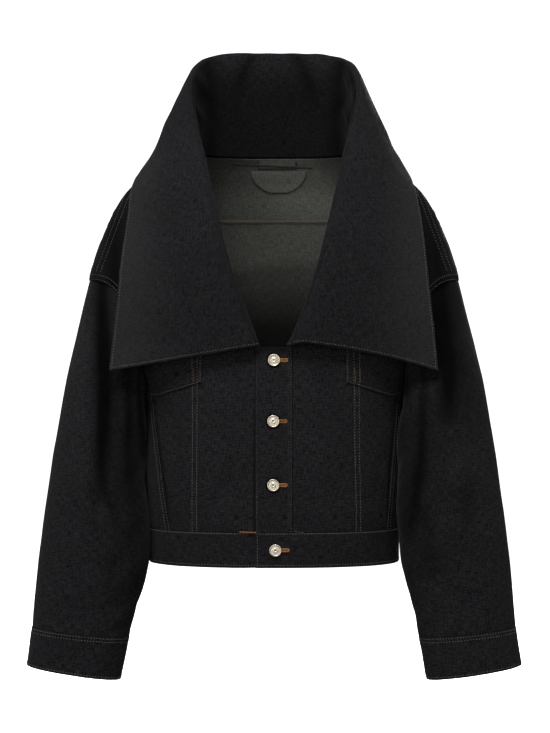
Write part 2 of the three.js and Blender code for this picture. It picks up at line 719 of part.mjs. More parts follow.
// Collar
const collarRollShare = 0.36;
const seamLift = 1.1;
const frontRise = 9;
const frontRiseStart = 0.75;
const bowShare = 0.8;
const standRounding = 0.5;
const fallRounding = 0.3;

const collarColumns = collarRows.map((row) => ({
  seamAngle: row.seamAngle ?? 90,
  seamHeight: row.seamHeight ?? bodySections[topPlace].height,
  rollX: row.roll[0], rollY: row.roll[1], rollZ: row.roll[2],
  edgeX: row.edge[0], edgeY: row.edge[1], edgeZ: row.edge[2], bow: row.bow,
}));
const collarAt = tableReader(collarColumns);
const shoulderRow = collarRows.findIndex((row) => row.seamAngle === 90);

// The neck seam: round the top of the back, then down the front neckline.
function collarSeam(row, t) {
  if (t <= shoulderRow) return bodyPoint(THREE.MathUtils.degToRad(row.seamAngle), topPlace);
  const place = bodyPlace(row.seamHeight);
  return bodyPoint(angleAt(neckX(row.seamHeight), place), place);
}

// A point of the collar: w runs from the wearer's right front end (-1) over the centre back
// (0) to the left front end (1), v from the neck seam over the roll line to the free edge.
function collarPoint(w, v) {
  const t = Math.abs(w) * (collarRows.length - 1);
  const row = collarAt(t);
  const side = w < 0 ? -1 : 1;
  const seam = collarSeam(row, t);
  seam.x *= side;
  const roll = new THREE.Vector3(side * row.rollX, row.rollY, row.rollZ);
  const edge = new THREE.Vector3(side * row.edgeX, row.edgeY, row.edgeZ);
  const lift = roll.clone().sub(seam).normalize().multiplyScalar(seamLift);
  seam.add(lift);
  const crown = roll.clone()
    .addScaledVector(seam, -standRounding / 4)
    .addScaledVector(edge, -fallRounding / 4)
    .divideScalar(1 - (standRounding + fallRounding) / 4);
  const roundStart = crown.clone().lerp(seam, standRounding);
  const roundEnd = crown.clone().lerp(edge, fallRounding);
  const standEnd = collarRollShare * 0.5;
  const fallStart = collarRollShare * 1.5;
  let point;
  if (v < standEnd) {
    point = seam.lerp(roundStart, v / standEnd);
  } else if (v > fallStart) {
    point = roundEnd.lerp(edge, (v - fallStart) / (1 - fallStart));
  } else {
    const f = (v - standEnd) / (fallStart - standEnd);
    point = roundStart.multiplyScalar((1 - f) * (1 - f))
      .addScaledVector(crown, 2 * f * (1 - f))
      .addScaledVector(roundEnd, f * f);
  }
  const fall = THREE.MathUtils.clamp((v - collarRollShare) / (1 - collarRollShare), 0, 1);
  const arch = 4 * fall * (1 - fall);
  point.y += row.bow * bowShare * arch;
  if (w > 0) point.z += frontRise * arch * THREE.MathUtils.smoothstep(w, frontRiseStart, 1);
  return point;
}

function addCollar() {
  const e = slopeStep;
  const sheet = (distance) => (u, v) => {
    const w = 1 - 2 * u;
    const along = collarPoint(Math.max(w - e, -1), v).sub(collarPoint(Math.min(w + e, 1), v));
    const out = collarPoint(w, Math.min(v + e, 1)).sub(collarPoint(w, Math.max(v - e, 0)));
    const normal = along.cross(out).normalize();
    return collarPoint(w, v).addScaledVector(normal, distance);
  };
  const { columns, rows } = collarGrid;
  addMesh('collar', wall(columns, rows, sheet(0), sheet(-doubleThickness)), collarDenim);
}

// Buttons: a dished head with a rim, on a shank that passes through the buttonhole
function addButtons() {
  buttonPlaces.forEach((spot, index) => {
    const place = bodyPlace(spot.height);
    const angle = angleAt(spot.x, place);
    const base = -underOffset - seamGap;
    const profile = [
      new THREE.Vector2(0, -base),
      new THREE.Vector2(shankRadius, -base),
      ...buttonHead.map(({ radius, height }) => new THREE.Vector2(radius, height)),
    ];
    const geometry = new THREE.LatheGeometry(profile, buttonSides);
    const facing = new THREE.Quaternion().setFromUnitVectors(
      new THREE.Vector3(0, 1, 0), bodyNormal(angle, place));
    geometry.applyQuaternion(facing);
    const point = bodyPoint(angle, place);
    geometry.translate(point.x, point.y, point.z);
    addMesh(`button_${index + 1}`, geometry, paleGold);
  });
}

for (const [name, front] of Object.entries(fronts)) {
  addFrontPanels(name, front);
  addFrontYoke(name, front.side);
  addFlap(name, front.side);
}
addBack();
const oblong = () => 1;
const halfMoon = (v) => Math.sqrt(1 - patchRounding * (1 - v) ** 2);
addInside('neck_label', neckLabel, oblong);
addInside('hanger_loop', hangerLoop, oblong, layerLift + neckLabel.thickness + layerGap);
addInside('neck_patch', neckPatch, halfMoon);
addPlacket();
addWaistband();
addSleeve('left', 1);
addSleeve('right', -1);
addCollar();
addButtons();

export default group;
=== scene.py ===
"""The looks of a denim jacket with an oversized fold-over collar.

The jacket is empty and filled out, as it stands when worn. Each cut piece of cloth is a thin
closed shell that follows the form of its solid, with its seams, creases and sewing. The pattern
is drafted in millimetres, in the frame of the solids, and put into the meshes in metres.
"""

import logging
from dataclasses import dataclass, field
from enum import Enum
from typing import Callable, Sequence

import bpy
import numpy as np
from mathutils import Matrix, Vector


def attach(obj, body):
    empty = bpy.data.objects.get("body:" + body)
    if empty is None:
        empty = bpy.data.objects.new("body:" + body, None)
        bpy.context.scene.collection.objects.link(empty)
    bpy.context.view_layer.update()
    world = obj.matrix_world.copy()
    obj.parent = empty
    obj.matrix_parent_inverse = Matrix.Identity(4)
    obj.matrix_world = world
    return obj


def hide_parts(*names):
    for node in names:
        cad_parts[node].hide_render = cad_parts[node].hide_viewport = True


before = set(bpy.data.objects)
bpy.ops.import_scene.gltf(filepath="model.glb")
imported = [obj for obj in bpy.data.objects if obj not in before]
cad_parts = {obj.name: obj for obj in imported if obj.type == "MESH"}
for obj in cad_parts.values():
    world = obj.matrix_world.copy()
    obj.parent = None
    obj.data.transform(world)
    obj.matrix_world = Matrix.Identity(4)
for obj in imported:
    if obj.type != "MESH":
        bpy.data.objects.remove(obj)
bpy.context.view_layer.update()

log = logging.getLogger("denim_jacket")
Array = np.ndarray
Grid = tuple[Array, Array]

MM = 0.001
BODY = "root"

# Driving dimensions of the pattern, in millimetres
CLOTH = 1.6
DOUBLE_CLOTH = 2.2
HEM_HEIGHT = -585.0
WAISTBAND_TOP = -536.0
NECK_FRONT_HEIGHT = -281.0
PLACKET_HALF_WIDTH = 25.5
ROUNDNESS = 2 / 2.4
FLAP_CLOTH = 1.3
FLAP_LIFT = 0.92
UNDER_OFFSET = -2.1
SEAM_ALLOWANCE = 10.0

# A lapped seam's width, and how far its two rows of stitches lie from its edge
FELL = 9.0
LAP_ROWS = (1.7, 8.4)


class Edge(Enum):
    """An edge of a cut piece's grid."""

    START = "start"
    END = "end"
    BOTTOM = "bottom"
    TOP = "top"


class Side(Enum):
    """The wearer's side of a piece, as the sign of its x."""

    LEFT = 1
    RIGHT = -1

    @property
    def word(self) -> str:
        """The side as it stands in the nodes' names."""
        return self.name.lower()

    @property
    def inward(self) -> Edge:
        """The edge of a front piece's grid that is nearer the centre front."""
        return Edge.START if self is Side.LEFT else Edge.END

    @property
    def outward(self) -> Edge:
        """The edge of a front piece's grid that is farther from the centre front."""
        return Edge.END if self is Side.LEFT else Edge.START


def smoothstep(value: Array, low: float, high: float) -> Array:
    """Rises from 0 at low to 1 at high as 3 t squared less 2 t cubed.

    Args:
        value: Where to read the curve.
        low: The value at which it starts to rise.
        high: The value at which it reaches 1.

    Returns:
        The curve's height at each value.
    """
    t = np.clip((np.asarray(value, float) - low) / (high - low), 0.0, 1.0)
    return t * t * (3.0 - 2.0 * t)


def signed_power(value: Array, power: float) -> Array:
    """The power of the value's size, with the value's sign."""
    return np.sign(value) * np.abs(value) ** power


def lerp(start: Array, end: Array, share: Array) -> Array:
    """The straight mix of start and end."""
    return start + (end - start) * share


def bump(value: Array, middle: float, width: float) -> Array:
    """A bell curve: e to the minus square of the distance over the width."""
    return np.exp(-(((value - middle) / width) ** 2))


def between(values: Sequence[float], t: Array) -> Array:
    """Reads a column between its rows by a smooth curve that never overshoots a row.

    The curve is a cubic Hermite with the harmonic mean of the two steps as its slope at a row.

    Args:
        values: The column's numbers, one for each row.
        t: Row numbers, with fractions.

    Returns:
        The column's value at each t.
    """
    column = np.asarray(values, float)
    t = np.asarray(t, float)
    steps = np.diff(column)
    product = steps[:-1] * steps[1:]
    total = np.where(product > 0, steps[:-1] + steps[1:], 1.0)
    inner = np.where(product > 0, 2.0 * product / total, 0.0)
    slopes = np.concatenate((steps[:1], inner, steps[-1:]))
    i = np.clip(np.floor(t).astype(int), 0, len(column) - 2)
    f = t - i
    g = f * f * (3.0 - 2.0 * f)
    rise = slopes[i] * f * (1 - f) ** 2 - slopes[i + 1] * f * f * (1 - f)
    return column[i] * (1 - g) + column[i + 1] * g + rise


def ripple(x: Array, y: Array, wavelength: float, seed: int) -> Array:
    """A smooth uneven surface between about -1 and 1: the evened sum of eight plane waves.

    Each wave has its own direction, its own start, and 0.7 to 1.5 times the mean length.

    Args:
        x: First coordinate, in millimetres.
        y: Second coordinate, in millimetres.
        wavelength: The mean length of the waves, in millimetres.
        seed: Picks the waves' directions and starts.

    Returns:
        The height at each point.
    """
    random = np.random.default_rng(seed)
    count = 8
    turns = random.uniform(0.0, 2.0 * np.pi, count)
    starts = random.uniform(0.0, 2.0 * np.pi, count)
    lengths = wavelength * random.uniform(0.7, 1.5, count)
    height = np.zeros(np.broadcast(x, y).shape)
    for turn, start, length in zip(turns, starts, lengths):
        height += np.sin(2 * np.pi * (x * np.cos(turn) + y * np.sin(turn)) / length + start)
    return height * np.sqrt(2.0 / count) * 0.6


@dataclass(frozen=True)
class Hand:
    """The soft unevenness of a cloth: heights and mean lengths of its broad and small waves."""

    broad: float
    broad_wave: float
    small: float
    small_wave: float
    seed: int

    def height(self, x: Array, y: Array) -> Array:
        """The height at each point: a broad ripple and a small one, added."""
        broad = self.broad * ripple(x, y, self.broad_wave, self.seed)
        return broad + self.small * ripple(x, y, self.small_wave, self.seed + 1)


@dataclass(frozen=True)
class Table:
    """A short table with named columns, read smoothly between its rows."""

    columns: tuple[str, ...]
    rows: tuple[tuple[float, ...], ...]

    @property
    def last(self) -> int:
        """The last row's number."""
        return len(self.rows) - 1

    def column(self, name: str) -> Array:
        """All numbers of one column."""
        at = self.columns.index(name)
        return np.array([row[at] for row in self.rows], float)

    def at(self, name: str, t: Array) -> Array:
        """The column's value at row numbers t."""
        return between(self.column(name), t)

    def place_of(self, name: str, value: Array) -> Array:
        """The row number at which a rising column has the value, found by halving.

        Args:
            name: A column whose numbers rise.
            value: The values to look for.

        Returns:
            Row numbers with fractions.
        """
        value = np.asarray(value, float)
        low = np.zeros(value.shape)
        high = np.full(value.shape, float(self.last))
        for _ in range(32):
            middle = (low + high) / 2
            below = self.at(name, middle) < value
            low = np.where(below, middle, low)
            high = np.where(below, high, middle)
        return (low + high) / 2


BODY_SECTIONS = Table(
    ("height", "half_width", "front", "back", "middle"),
    (
        (-585, 181, 139, 97, 15),
        (-536, 183, 141, 99, 15),
        (-500, 187, 143, 101, 15),
        (-450, 190, 143, 103, 14),
        (-400, 190, 141, 105, 13),
        (-360, 190, 138, 108, 12),
        (-330, 193, 134, 111, 10),
        (-300, 205, 130, 113, 9),
        (-265, 228, 124, 115, 8),
        (-225, 252, 115, 116, 6),
        (-180, 268, 101, 116, 5),
        (-143, 259, 88, 114, 5),
        (-109, 246, 74, 110, 5),
        (-74, 230, 57, 103, 6),
        (-50, 214, 44, 97, 7),
        (-34, 197, 33, 91, 8),
        (-20, 175, 23, 84, 9),
        (-8, 147, 13, 78, 10),
        (5, 110, 5, 70, 10),
    ),
)

NECKLINE = Table(("height", "x"), ((-281, 26), (-225, 53), (-126, 85), (-50, 102), (5, 110)))


@dataclass(frozen=True)
class BodyForm:
    """The outside of the jacket's body, as level sections that are rounded boxes."""

    sections: Table
    small_step: float = 0.004

    @property
    def top(self) -> float:
        """The place of the topmost section."""
        return float(self.sections.last)

    def place_of(self, height: Array) -> Array:
        """The place in the table at a height."""
        return self.sections.place_of("height", height)

    def height_at(self, place: Array) -> Array:
        """The height at a place in the table."""
        return self.sections.at("height", place)

    def half_width(self, place: Array) -> Array:
        """Half the width of the section at a place."""
        return self.sections.at("half_width", place)

    def point(self, angle: Array, place: Array) -> Array:
        """A point of the outside.

        x is the half width times the sine of the angle to the power ROUNDNESS. y is the middle
        less the depth times the cosine to the same power. The front and the back have a depth
        each, and angle 0 is the centre front.

        Args:
            angle: Angles round the body, from the front over the wearer's left side.
            place: Row numbers of the sections.

        Returns:
            Points, with x, y and z last.
        """
        angle, place = np.broadcast_arrays(angle, place)
        face = np.cos(angle)
        depth = np.where(face > 0, self.sections.at("front", place), self.sections.at("back", place))
        x = self.half_width(place) * signed_power(np.sin(angle), ROUNDNESS)
        y = self.sections.at("middle", place) - depth * signed_power(face, ROUNDNESS)
        return np.stack((x, y, self.height_at(place)), axis=-1)

    def normal(self, angle: Array, place: Array) -> Array:
        """The unit normal of the outside: the cross product of two small steps round and up.

        Args:
            angle: Angles round the body.
            place: Row numbers of the sections.

        Returns:
            A unit normal for each.
        """
        e = self.small_step
        along = self.point(angle + e, place) - self.point(angle - e, place)
        up = self.point(angle, np.minimum(place + e, self.top)) - self.point(
            angle, np.maximum(place - e, 0.0)
        )
        normal = np.cross(along, up)
        return normal / np.linalg.norm(normal, axis=-1, keepdims=True)

    def moved(self, angle: Array, place: Array, distance: Array) -> Array:
        """A point moved off the outside along the normal."""
        shift = np.asarray(distance, float)[..., None] * self.normal(angle, place)
        return self.point(angle, place) + shift

    def angle_at(self, x: Array, place: Array) -> Array:
        """The angle on the front half at which the outside has this x."""
        share = np.minimum(np.abs(x) / self.half_width(place), 1.0)
        return np.sign(x) * np.arcsin(share ** (1 / ROUNDNESS))


BODY_FORM = BodyForm(BODY_SECTIONS)


def neck_x(height: Array) -> Array:
    """The neckline's x in front view at a height."""
    return NECKLINE.at("x", NECKLINE.place_of("height", height))


@dataclass(frozen=True)
class Armhole:
    """The armhole seam in front view, a quarter of a rounded box."""

    top_x: float = 268.0
    top_z: float = -180.0
    under_x: float = 191.0
    under_z: float = -342.0
    squareness: float = 0.8
    nodes: int = 12
    yoke_node: int = 9

    def x(self, share: Array) -> Array:
        """The seam's x from the shoulder point (share 0) to the underarm (share 1)."""
        turn = np.clip(share, 0.0, 1.0) * np.pi / 2
        return self.top_x - (self.top_x - self.under_x) * np.sin(turn) ** self.squareness

    def height(self, share: Array) -> Array:
        """The seam's height from the shoulder point to the underarm.

        Args:
            share: 0 at the shoulder point, 1 at the underarm.

        Returns:
            A height for each share.
        """
        turn = np.clip(share, 0.0, 1.0) * np.pi / 2
        rise = self.top_z - self.under_z
        return self.top_z - rise * (1.0 - np.maximum(np.cos(turn), 0.0) ** self.squareness)

    def corner(self, share: Array) -> Grid:
        """The seam's angle and place on the front of the body."""
        place = BODY_FORM.place_of(self.height(share))
        return np.minimum(BODY_FORM.angle_at(self.x(share), place), np.pi / 2), place

    def point(self, angle: Array) -> Array:
        """The seam's point for an angle round the sleeve's top ring.

        Args:
            angle: From the shoulder point over the front, the underarm and the back.

        Returns:
            Points on the wearer's left.
        """
        front = angle <= np.pi
        share = np.where(front, angle, 2 * np.pi - angle) / np.pi
        body_angle, place = self.corner(share)
        return BODY_FORM.point(np.where(front, body_angle, np.pi - body_angle), place)


ARMHOLE = Armhole()
YOKE_SEAM_HEIGHT = float(ARMHOLE.height(np.array(ARMHOLE.yoke_node / ARMHOLE.nodes)))
SHOULDER_PLACE = float(BODY_FORM.place_of(np.array(ARMHOLE.top_z)))
BACK_YOKE_SHARE = 6 / 9
BACK_YOKE_PLACE = float(lerp(BODY_FORM.top, SHOULDER_PLACE, BACK_YOKE_SHARE))


def graded(length: float, coarse: float, fine: float = 1.5, zone: float = 12.0) -> Array:
    """Steps from 0 to 1 that are fine beside both ends and coarse between them.

    Args:
        length: The real length of the run, in millimetres.
        coarse: The step in the middle.
        fine: The step beside the ends.
        zone: How far the fine steps reach.

    Returns:
        Rising shares of the length.
    """
    zone = min(zone, length / 3)
    ends = np.linspace(0.0, zone, max(int(round(zone / fine)), 1) + 1)
    count = max(int(round((length - 2 * zone) / coarse)), 1)
    middle = np.linspace(zone, length - zone, count + 1)
    return np.concatenate((ends[:-1], middle, length - ends[::-1][1:])) / length


def grid_normals(points: Array, closed: bool) -> Array:
    """Unit normals of a grid of points: the cross product of the steps along and up.

    Args:
        points: Rows by columns of points.
        closed: True if the last column lies on the first one.

    Returns:
        A normal for each point.
    """
    if closed:
        wide = np.concatenate((points[:, -2:-1], points, points[:, 1:2]), axis=1)
        along = wide[:, 2:] - wide[:, :-2]
    else:
        along = np.gradient(points, axis=1)
    normal = np.cross(along, np.gradient(points, axis=0))
    return normal / np.maximum(np.linalg.norm(normal, axis=2, keepdims=True), 1e-9)


def run_lengths(points: Array, axis: int) -> Array:
    """The length of cloth from the first point of each line to each of its points.

    Args:
        points: Rows by columns of points.
        axis: 1 to measure across, 0 to measure up.

    Returns:
        A length for each point, as the sum of the straight steps.
    """
    steps = np.linalg.norm(np.diff(points, axis=axis), axis=2)
    total = np.cumsum(steps, axis=axis)
    start = np.zeros((points.shape[0], 1)) if axis == 1 else np.zeros((1, points.shape[1]))
    return np.concatenate((start, total), axis=axis)


@dataclass(frozen=True)
class Crease:
    """A soft trough or ridge in the cloth, between two places of a piece.

    Places are shares of the piece across and up. Depth is positive for a trough.
    """

    start: tuple[float, float]
    end: tuple[float, float]
    width: float
    depth: float


@dataclass(frozen=True)
class Fold:
    """A fold laid out in front view, in millimetres of x and height.

    Depth is positive for a trough. Shade is the painted shade in it: how far its colour is mixed
    towards black. A shade over 1 keeps the fold's whole middle dark.
    """

    start: tuple[float, float]
    end: tuple[float, float]
    width: float
    depth: float
    shade: float = 0.0


@dataclass
class CutPiece:
    """One cut piece of cloth: a grid of points over its outer face, in millimetres."""

    name: str
    across: Array
    up: Array
    points: Array
    thickness: Array | float = CLOTH
    closed: bool = False
    raised: Array = field(init=False)
    wear: Array = field(init=False)
    # Painted shade: how far the colour of the right side and of the wrong side is mixed towards black where
    # shade falls
    deep: Array = field(init=False)
    painted_shade_inside: Array = field(init=False)
    along_run: Array = field(init=False)
    up_run: Array = field(init=False)
    drafted: Array = field(init=False)

    def __post_init__(self) -> None:
        """Measures the piece's runs, before any crease is put in."""
        size = self.points.shape[:2]
        self.raised = np.zeros(size)
        self.wear = np.zeros(size)
        self.deep = np.zeros(size)
        self.painted_shade_inside = np.zeros(size)
        self.along_run = run_lengths(self.points, 1)
        self.up_run = run_lengths(self.points, 0)
        self.drafted = self.points

    def from_edge(self, edge: Edge) -> Array:
        """How much cloth lies between each point and an edge.

        Args:
            edge: The edge to measure from.

        Returns:
            A length for each point.
        """
        if edge is Edge.START:
            return self.along_run
        if edge is Edge.END:
            return self.along_run[:, -1:] - self.along_run
        if edge is Edge.BOTTOM:
            return self.up_run
        return self.up_run[-1:] - self.up_run

    def along_edge(self, edge: Edge) -> Array:
        """How far each point lies along an edge."""
        return self.up_run if edge in (Edge.START, Edge.END) else self.along_run

    def push(self, distance: Array) -> None:
        """Moves the cloth along its normals."""
        self.points = self.points + distance[..., None] * grid_normals(self.points, self.closed)

    def soften(self, hand: Hand) -> None:
        """Gives the cloth its soft unevenness, laid out in front view."""
        self.push(hand.height(self.points[..., 0], self.points[..., 2]))

    def paint_shade(self, amount: Array) -> None:
        """Paints shade on the right side, at least this much."""
        self.deep = np.maximum(self.deep, amount)

    def crease(self, creases: Sequence[Crease]) -> None:
        """Presses troughs and ridges into the cloth.

        Across a crease the depth falls off as a bell curve of its width. Along it the depth
        follows half a sine wave, so both ends run out softly.

        Args:
            creases: The creases, in shares of the piece.
        """
        width = float(self.along_run[:, -1].mean())
        height = float(self.up_run[-1].mean())
        x = self.along_run / self.along_run[:, -1:] * width
        y = self.up_run / self.up_run[-1:] * height
        total = np.zeros(self.points.shape[:2])
        for item in creases:
            start = np.array(item.start) * (width, height)
            run = np.array(item.end) * (width, height) - start
            length = float(np.hypot(*run))
            t = ((x - start[0]) * run[0] + (y - start[1]) * run[1]) / length**2
            off = ((x - start[0]) * run[1] - (y - start[1]) * run[0]) / length
            sway = 0.35 * item.width * np.sin(2.2 * np.pi * t + length)
            total -= item.depth * np.sin(np.pi * np.clip(t, 0, 1)) * bump(off, sway, item.width)
        self.push(total)

    def fold(self, folds: Sequence[Fold]) -> None:
        """Presses folds that are laid out in front view into the faces that look forward, and paints
        shade into them.

        The depth and the painted shade follow half a sine wave along a fold and a bell curve across it.

        Args:
            folds: The folds.
        """
        facing = smoothstep(-grid_normals(self.points, self.closed)[..., 1], 0.02, 0.3)
        x = self.points[..., 0]
        z = self.points[..., 2]
        total = np.zeros(x.shape)
        for item in folds:
            run_x = item.end[0] - item.start[0]
            run_z = item.end[1] - item.start[1]
            length = float(np.hypot(run_x, run_z))
            t = ((x - item.start[0]) * run_x + (z - item.start[1]) * run_z) / length**2
            off = ((x - item.start[0]) * run_z - (z - item.start[1]) * run_x) / length
            sway = 0.25 * item.width * np.sin(2.2 * np.pi * t + length)
            amount = np.sqrt(np.sin(np.pi * np.clip(t, 0, 1))) * bump(off, sway, item.width) * facing
            total -= item.depth * amount
            # Painted shade: each fold darkens the colour further
            self.deep = 1 - (1 - self.deep) * (1 - np.clip(item.shade * amount, 0, 0.985))
        self.push(total)

    def crossing(self, start: tuple[float, float], end: tuple[float, float]) -> Grid:
        """A path that is straight in front view and meets each column of the grid once.

        Args:
            start: Its first point's x and height.
            end: Its last point's x and height.

        Returns:
            The path's shares across and up.
        """
        run_x = end[0] - start[0]
        run_z = end[1] - start[1]
        x = self.points[..., 0] - start[0]
        z = self.points[..., 2] - start[1]
        off = x * run_z - z * run_x
        meets = off[:-1] * off[1:] <= 0
        columns = np.flatnonzero(meets.any(axis=0))
        rows = meets[:, columns].argmax(axis=0)
        first = off[rows, columns]
        second = off[rows + 1, columns]
        share = first / np.where(first == second, 1.0, first - second)
        t = (x[rows, columns] * run_x + z[rows, columns] * run_z) / (run_x**2 + run_z**2)
        kept = (t >= 0) & (t <= 1)
        v = lerp(self.up[rows], self.up[rows + 1], share)
        return self.across[columns][kept], v[kept]

    def felled(self, edge: Edge, width: float = FELL, height: float = 0.6, seed: int = 1) -> None:
        """Raises the lapped seam along an edge, with a puckered groove at each row of stitches.

        Args:
            edge: The edge that the seam runs along.
            width: The width of the lap.
            height: How far it stands up.
            seed: Picks the puckers.
        """
        d = self.from_edge(edge)
        t = self.along_edge(edge)
        puckers = 1.0 + 0.55 * ripple(t, d * 0.6, 9.0, seed)
        band = smoothstep(d, 0.0, 1.2) * (1 - smoothstep(d, width - 0.6, width + 1.4))
        self.raised += height * band * puckers
        self.raised -= 0.3 * (bump(d, 1.7, 0.9) + bump(d, width - 1.6, 0.9)) * band
        self.wear = np.maximum(self.wear, 0.55 * bump(d, 0.4, 1.1) * puckers.clip(0.3, 1.4))
        self.wear = np.maximum(self.wear, 0.35 * bump(d, width + 0.3, 1.2) * puckers.clip(0.2, 1.4))

    def settle(self, edges: Sequence[Edge], reach: float = 14.0) -> None:
        """Lets the soft unevenness run out towards edges, so that the seams there stay closed.

        Args:
            edges: The edges.
            reach: How far from an edge the cloth is back at its full unevenness.
        """
        share = np.ones(self.points.shape[:2])
        for edge in edges:
            share = share * smoothstep(self.from_edge(edge), 0.0, reach)
        self.points = self.drafted + share[..., None] * (self.points - self.drafted)

    def tucked(self, edge: Edge, depth: float = 0.5) -> None:
        """Lowers the cloth beside an edge that passes under its neighbour."""
        self.raised -= depth * (1 - smoothstep(self.from_edge(edge), 0.2, 2.4))

    def hemmed(self, edge: Edge, seed: int = 3) -> None:
        """Rounds a turned edge, with slight puckers and a little wear on its fold.

        The face drops to the edge as a quarter round: one less the root of the distance.

        Args:
            edge: The turned edge.
            seed: Picks the puckers.
        """
        d = self.from_edge(edge)
        puckers = ripple(self.along_edge(edge), d, 11.0, seed)
        self.raised -= 0.7 * (1 - np.sqrt(np.clip(d / 1.6, 0, 1)))
        self.raised += 0.16 * puckers * (1 - smoothstep(d, 4.0, 12.0))
        self.wear = np.maximum(self.wear, (0.6 + 0.35 * puckers) * bump(d, 0.2, 1.3))

    def outer(self) -> Array:
        """The points of the finished outer face."""
        return self.points + self.raised[..., None] * grid_normals(self.points, self.closed)

    def inner(self) -> Array:
        """The points of the wrong side."""
        thickness = np.broadcast_to(self.thickness, self.points.shape[:2])
        return self.points - thickness[..., None] * grid_normals(self.points, self.closed)

    def sample(self, grid: Array, u: Array, v: Array) -> Array:
        """Reads a grid at shares across and up, straight between its four nearest points.

        Args:
            grid: Rows by columns of points or normals.
            u: Shares across.
            v: Shares up.

        Returns:
            The value at each pair of shares.
        """
        column = np.interp(u, self.across, np.arange(len(self.across)))
        row = np.interp(v, self.up, np.arange(len(self.up)))
        i = np.clip(column.astype(int), 0, len(self.across) - 2)
        j = np.clip(row.astype(int), 0, len(self.up) - 2)
        f = (column - i)[:, None]
        g = (row - j)[:, None]
        low = grid[j, i] * (1 - f) + grid[j, i + 1] * f
        high = grid[j + 1, i] * (1 - f) + grid[j + 1, i + 1] * f
        return low * (1 - g) + high * g

    def beside(self, edge: Edge, distance: float, start: float = 0.0, end: float = 1.0) -> Grid:
        """A path that keeps its distance from an edge.

        Args:
            edge: The edge to follow.
            distance: How far the path lies inside it.
            start: Where it starts, as a share of the edge.
            end: Where it ends.

        Returns:
            The path's shares across and up.
        """
        upright = edge in (Edge.START, Edge.END)
        run = self.from_edge(edge)
        lines = run if upright else run.T
        shares = self.across if upright else self.up
        if edge in (Edge.END, Edge.TOP):
            lines = lines[:, ::-1]
            shares = shares[::-1]
        here = np.array([np.interp(distance, line, shares) for line in lines])
        other = self.up if upright else self.across
        keep = (other >= start - 1e-9) & (other <= end + 1e-9)
        pair = (here[keep], other[keep])
        return pair if upright else (pair[1], pair[0])


def path_on(piece: CutPiece, path: Grid) -> Grid:
    """The points and normals of a path on a piece's finished face.

    Args:
        piece: The cut piece.
        path: Shares across and up.

    Returns:
        Points and unit normals along the path.
    """
    outer = piece.outer()
    normals = grid_normals(outer, piece.closed)
    points = piece.sample(outer, *path)
    normal = piece.sample(normals, *path)
    return points, normal / np.linalg.norm(normal, axis=1, keepdims=True)


def path_inside(piece: CutPiece, path: Grid) -> Grid:
    """The points and normals of the same path on the piece's wrong side.

    Args:
        piece: The cut piece.
        path: Shares across and up.

    Returns:
        Points and unit normals that look into the jacket.
    """
    inner = piece.inner()
    normal = -piece.sample(grid_normals(inner, piece.closed), *path)
    return piece.sample(inner, *path), normal / np.linalg.norm(normal, axis=1, keepdims=True)


@dataclass(frozen=True)
class Thread:
    """Sewing thread: how long its stitches are, the gap between them and its thickness."""

    length: float = 2.6
    gap: float = 1.6
    radius: float = 0.32
    lift: float = 0.24

    def stitches(self, points: Array, normals: Array, offset: float = 0.0) -> Grid:
        """Lays a row of stitches along a path.

        Each stitch is a bar with three square rings: two small ends sunk in the cloth and a
        full middle that stands on it.

        Args:
            points: The path's points.
            normals: The cloth's unit normals there.
            offset: How far the first stitch starts along the path.

        Returns:
            Vertices and quads.
        """
        steps = np.linalg.norm(np.diff(points, axis=0), axis=1)
        run = np.concatenate(([0.0], np.cumsum(steps)))
        pitch = self.length + self.gap
        count = int((run[-1] - offset - self.length) // pitch) + 1
        if count < 1:
            return np.zeros((0, 3)), np.zeros((0, 4), int)
        starts = offset + pitch * np.arange(count)
        return self.bars(
            along(points, run, starts),
            along(points, run, starts + self.length),
            along(normals, run, starts + self.length / 2),
        )

    def satin(self, points: Array, normals: Array, half_width: float, pitch: float) -> Grid:
        """Lays close stitches across a path, as on a buttonhole or a bar tack.

        Args:
            points: The path's points.
            normals: The cloth's unit normals there.
            half_width: Half the width of the band of stitches.
            pitch: The distance between stitches.

        Returns:
            Vertices and quads.
        """
        steps = np.linalg.norm(np.diff(points, axis=0), axis=1)
        run = np.concatenate(([0.0], np.cumsum(steps)))
        places = np.arange(0.0, run[-1], pitch)
        middle = along(points, run, places)
        normal = along(normals, run, places)
        ahead = along(points, run, places + 0.2) - along(points, run, places - 0.2)
        side = np.cross(normal, ahead)
        side /= np.maximum(np.linalg.norm(side, axis=1, keepdims=True), 1e-9)
        return self.bars(middle - side * half_width, middle + side * half_width, normal)

    def bars(self, start: Array, end: Array, normal: Array) -> Grid:
        """The bars of many stitches at once.

        Args:
            start: Where each stitch goes in.
            end: Where it comes out.
            normal: The cloth's normal at each.

        Returns:
            Vertices and quads, twelve vertices and ten quads a stitch.
        """
        normal = normal / np.linalg.norm(normal, axis=1, keepdims=True)
        side = np.cross(normal, end - start)
        side /= np.maximum(np.linalg.norm(side, axis=1, keepdims=True), 1e-9)
        corners = ((1.0, 0.0), (0.0, 1.0), (-1.0, 0.0), (0.0, -1.0))
        rings = ((start, 0.45, -0.25), ((start + end) / 2, 1.0, self.lift), (end, 0.45, -0.25))
        sheets = [
            centre + normal * lift + self.radius * size * (side * a + normal * b)
            for centre, size, lift in rings
            for a, b in corners
        ]
        vertices = np.stack(sheets, axis=1).reshape(-1, 3)
        quads = [
            (4 * ring + k, 4 * ring + 4 + k, 4 * ring + 4 + (k + 1) % 4, 4 * ring + (k + 1) % 4)
            for ring in range(2)
            for k in range(4)
        ]
        quads += [(0, 1, 2, 3), (11, 10, 9, 8)]
        faces = np.array(quads)[None] + 12 * np.arange(len(start))[:, None, None]
        return vertices, faces.reshape(-1, 4)


def along(values: Array, run: Array, places: Array) -> Array:
    """Reads points or normals at places along a path."""
    return np.stack([np.interp(places, run, values[:, k]) for k in range(3)], axis=1)


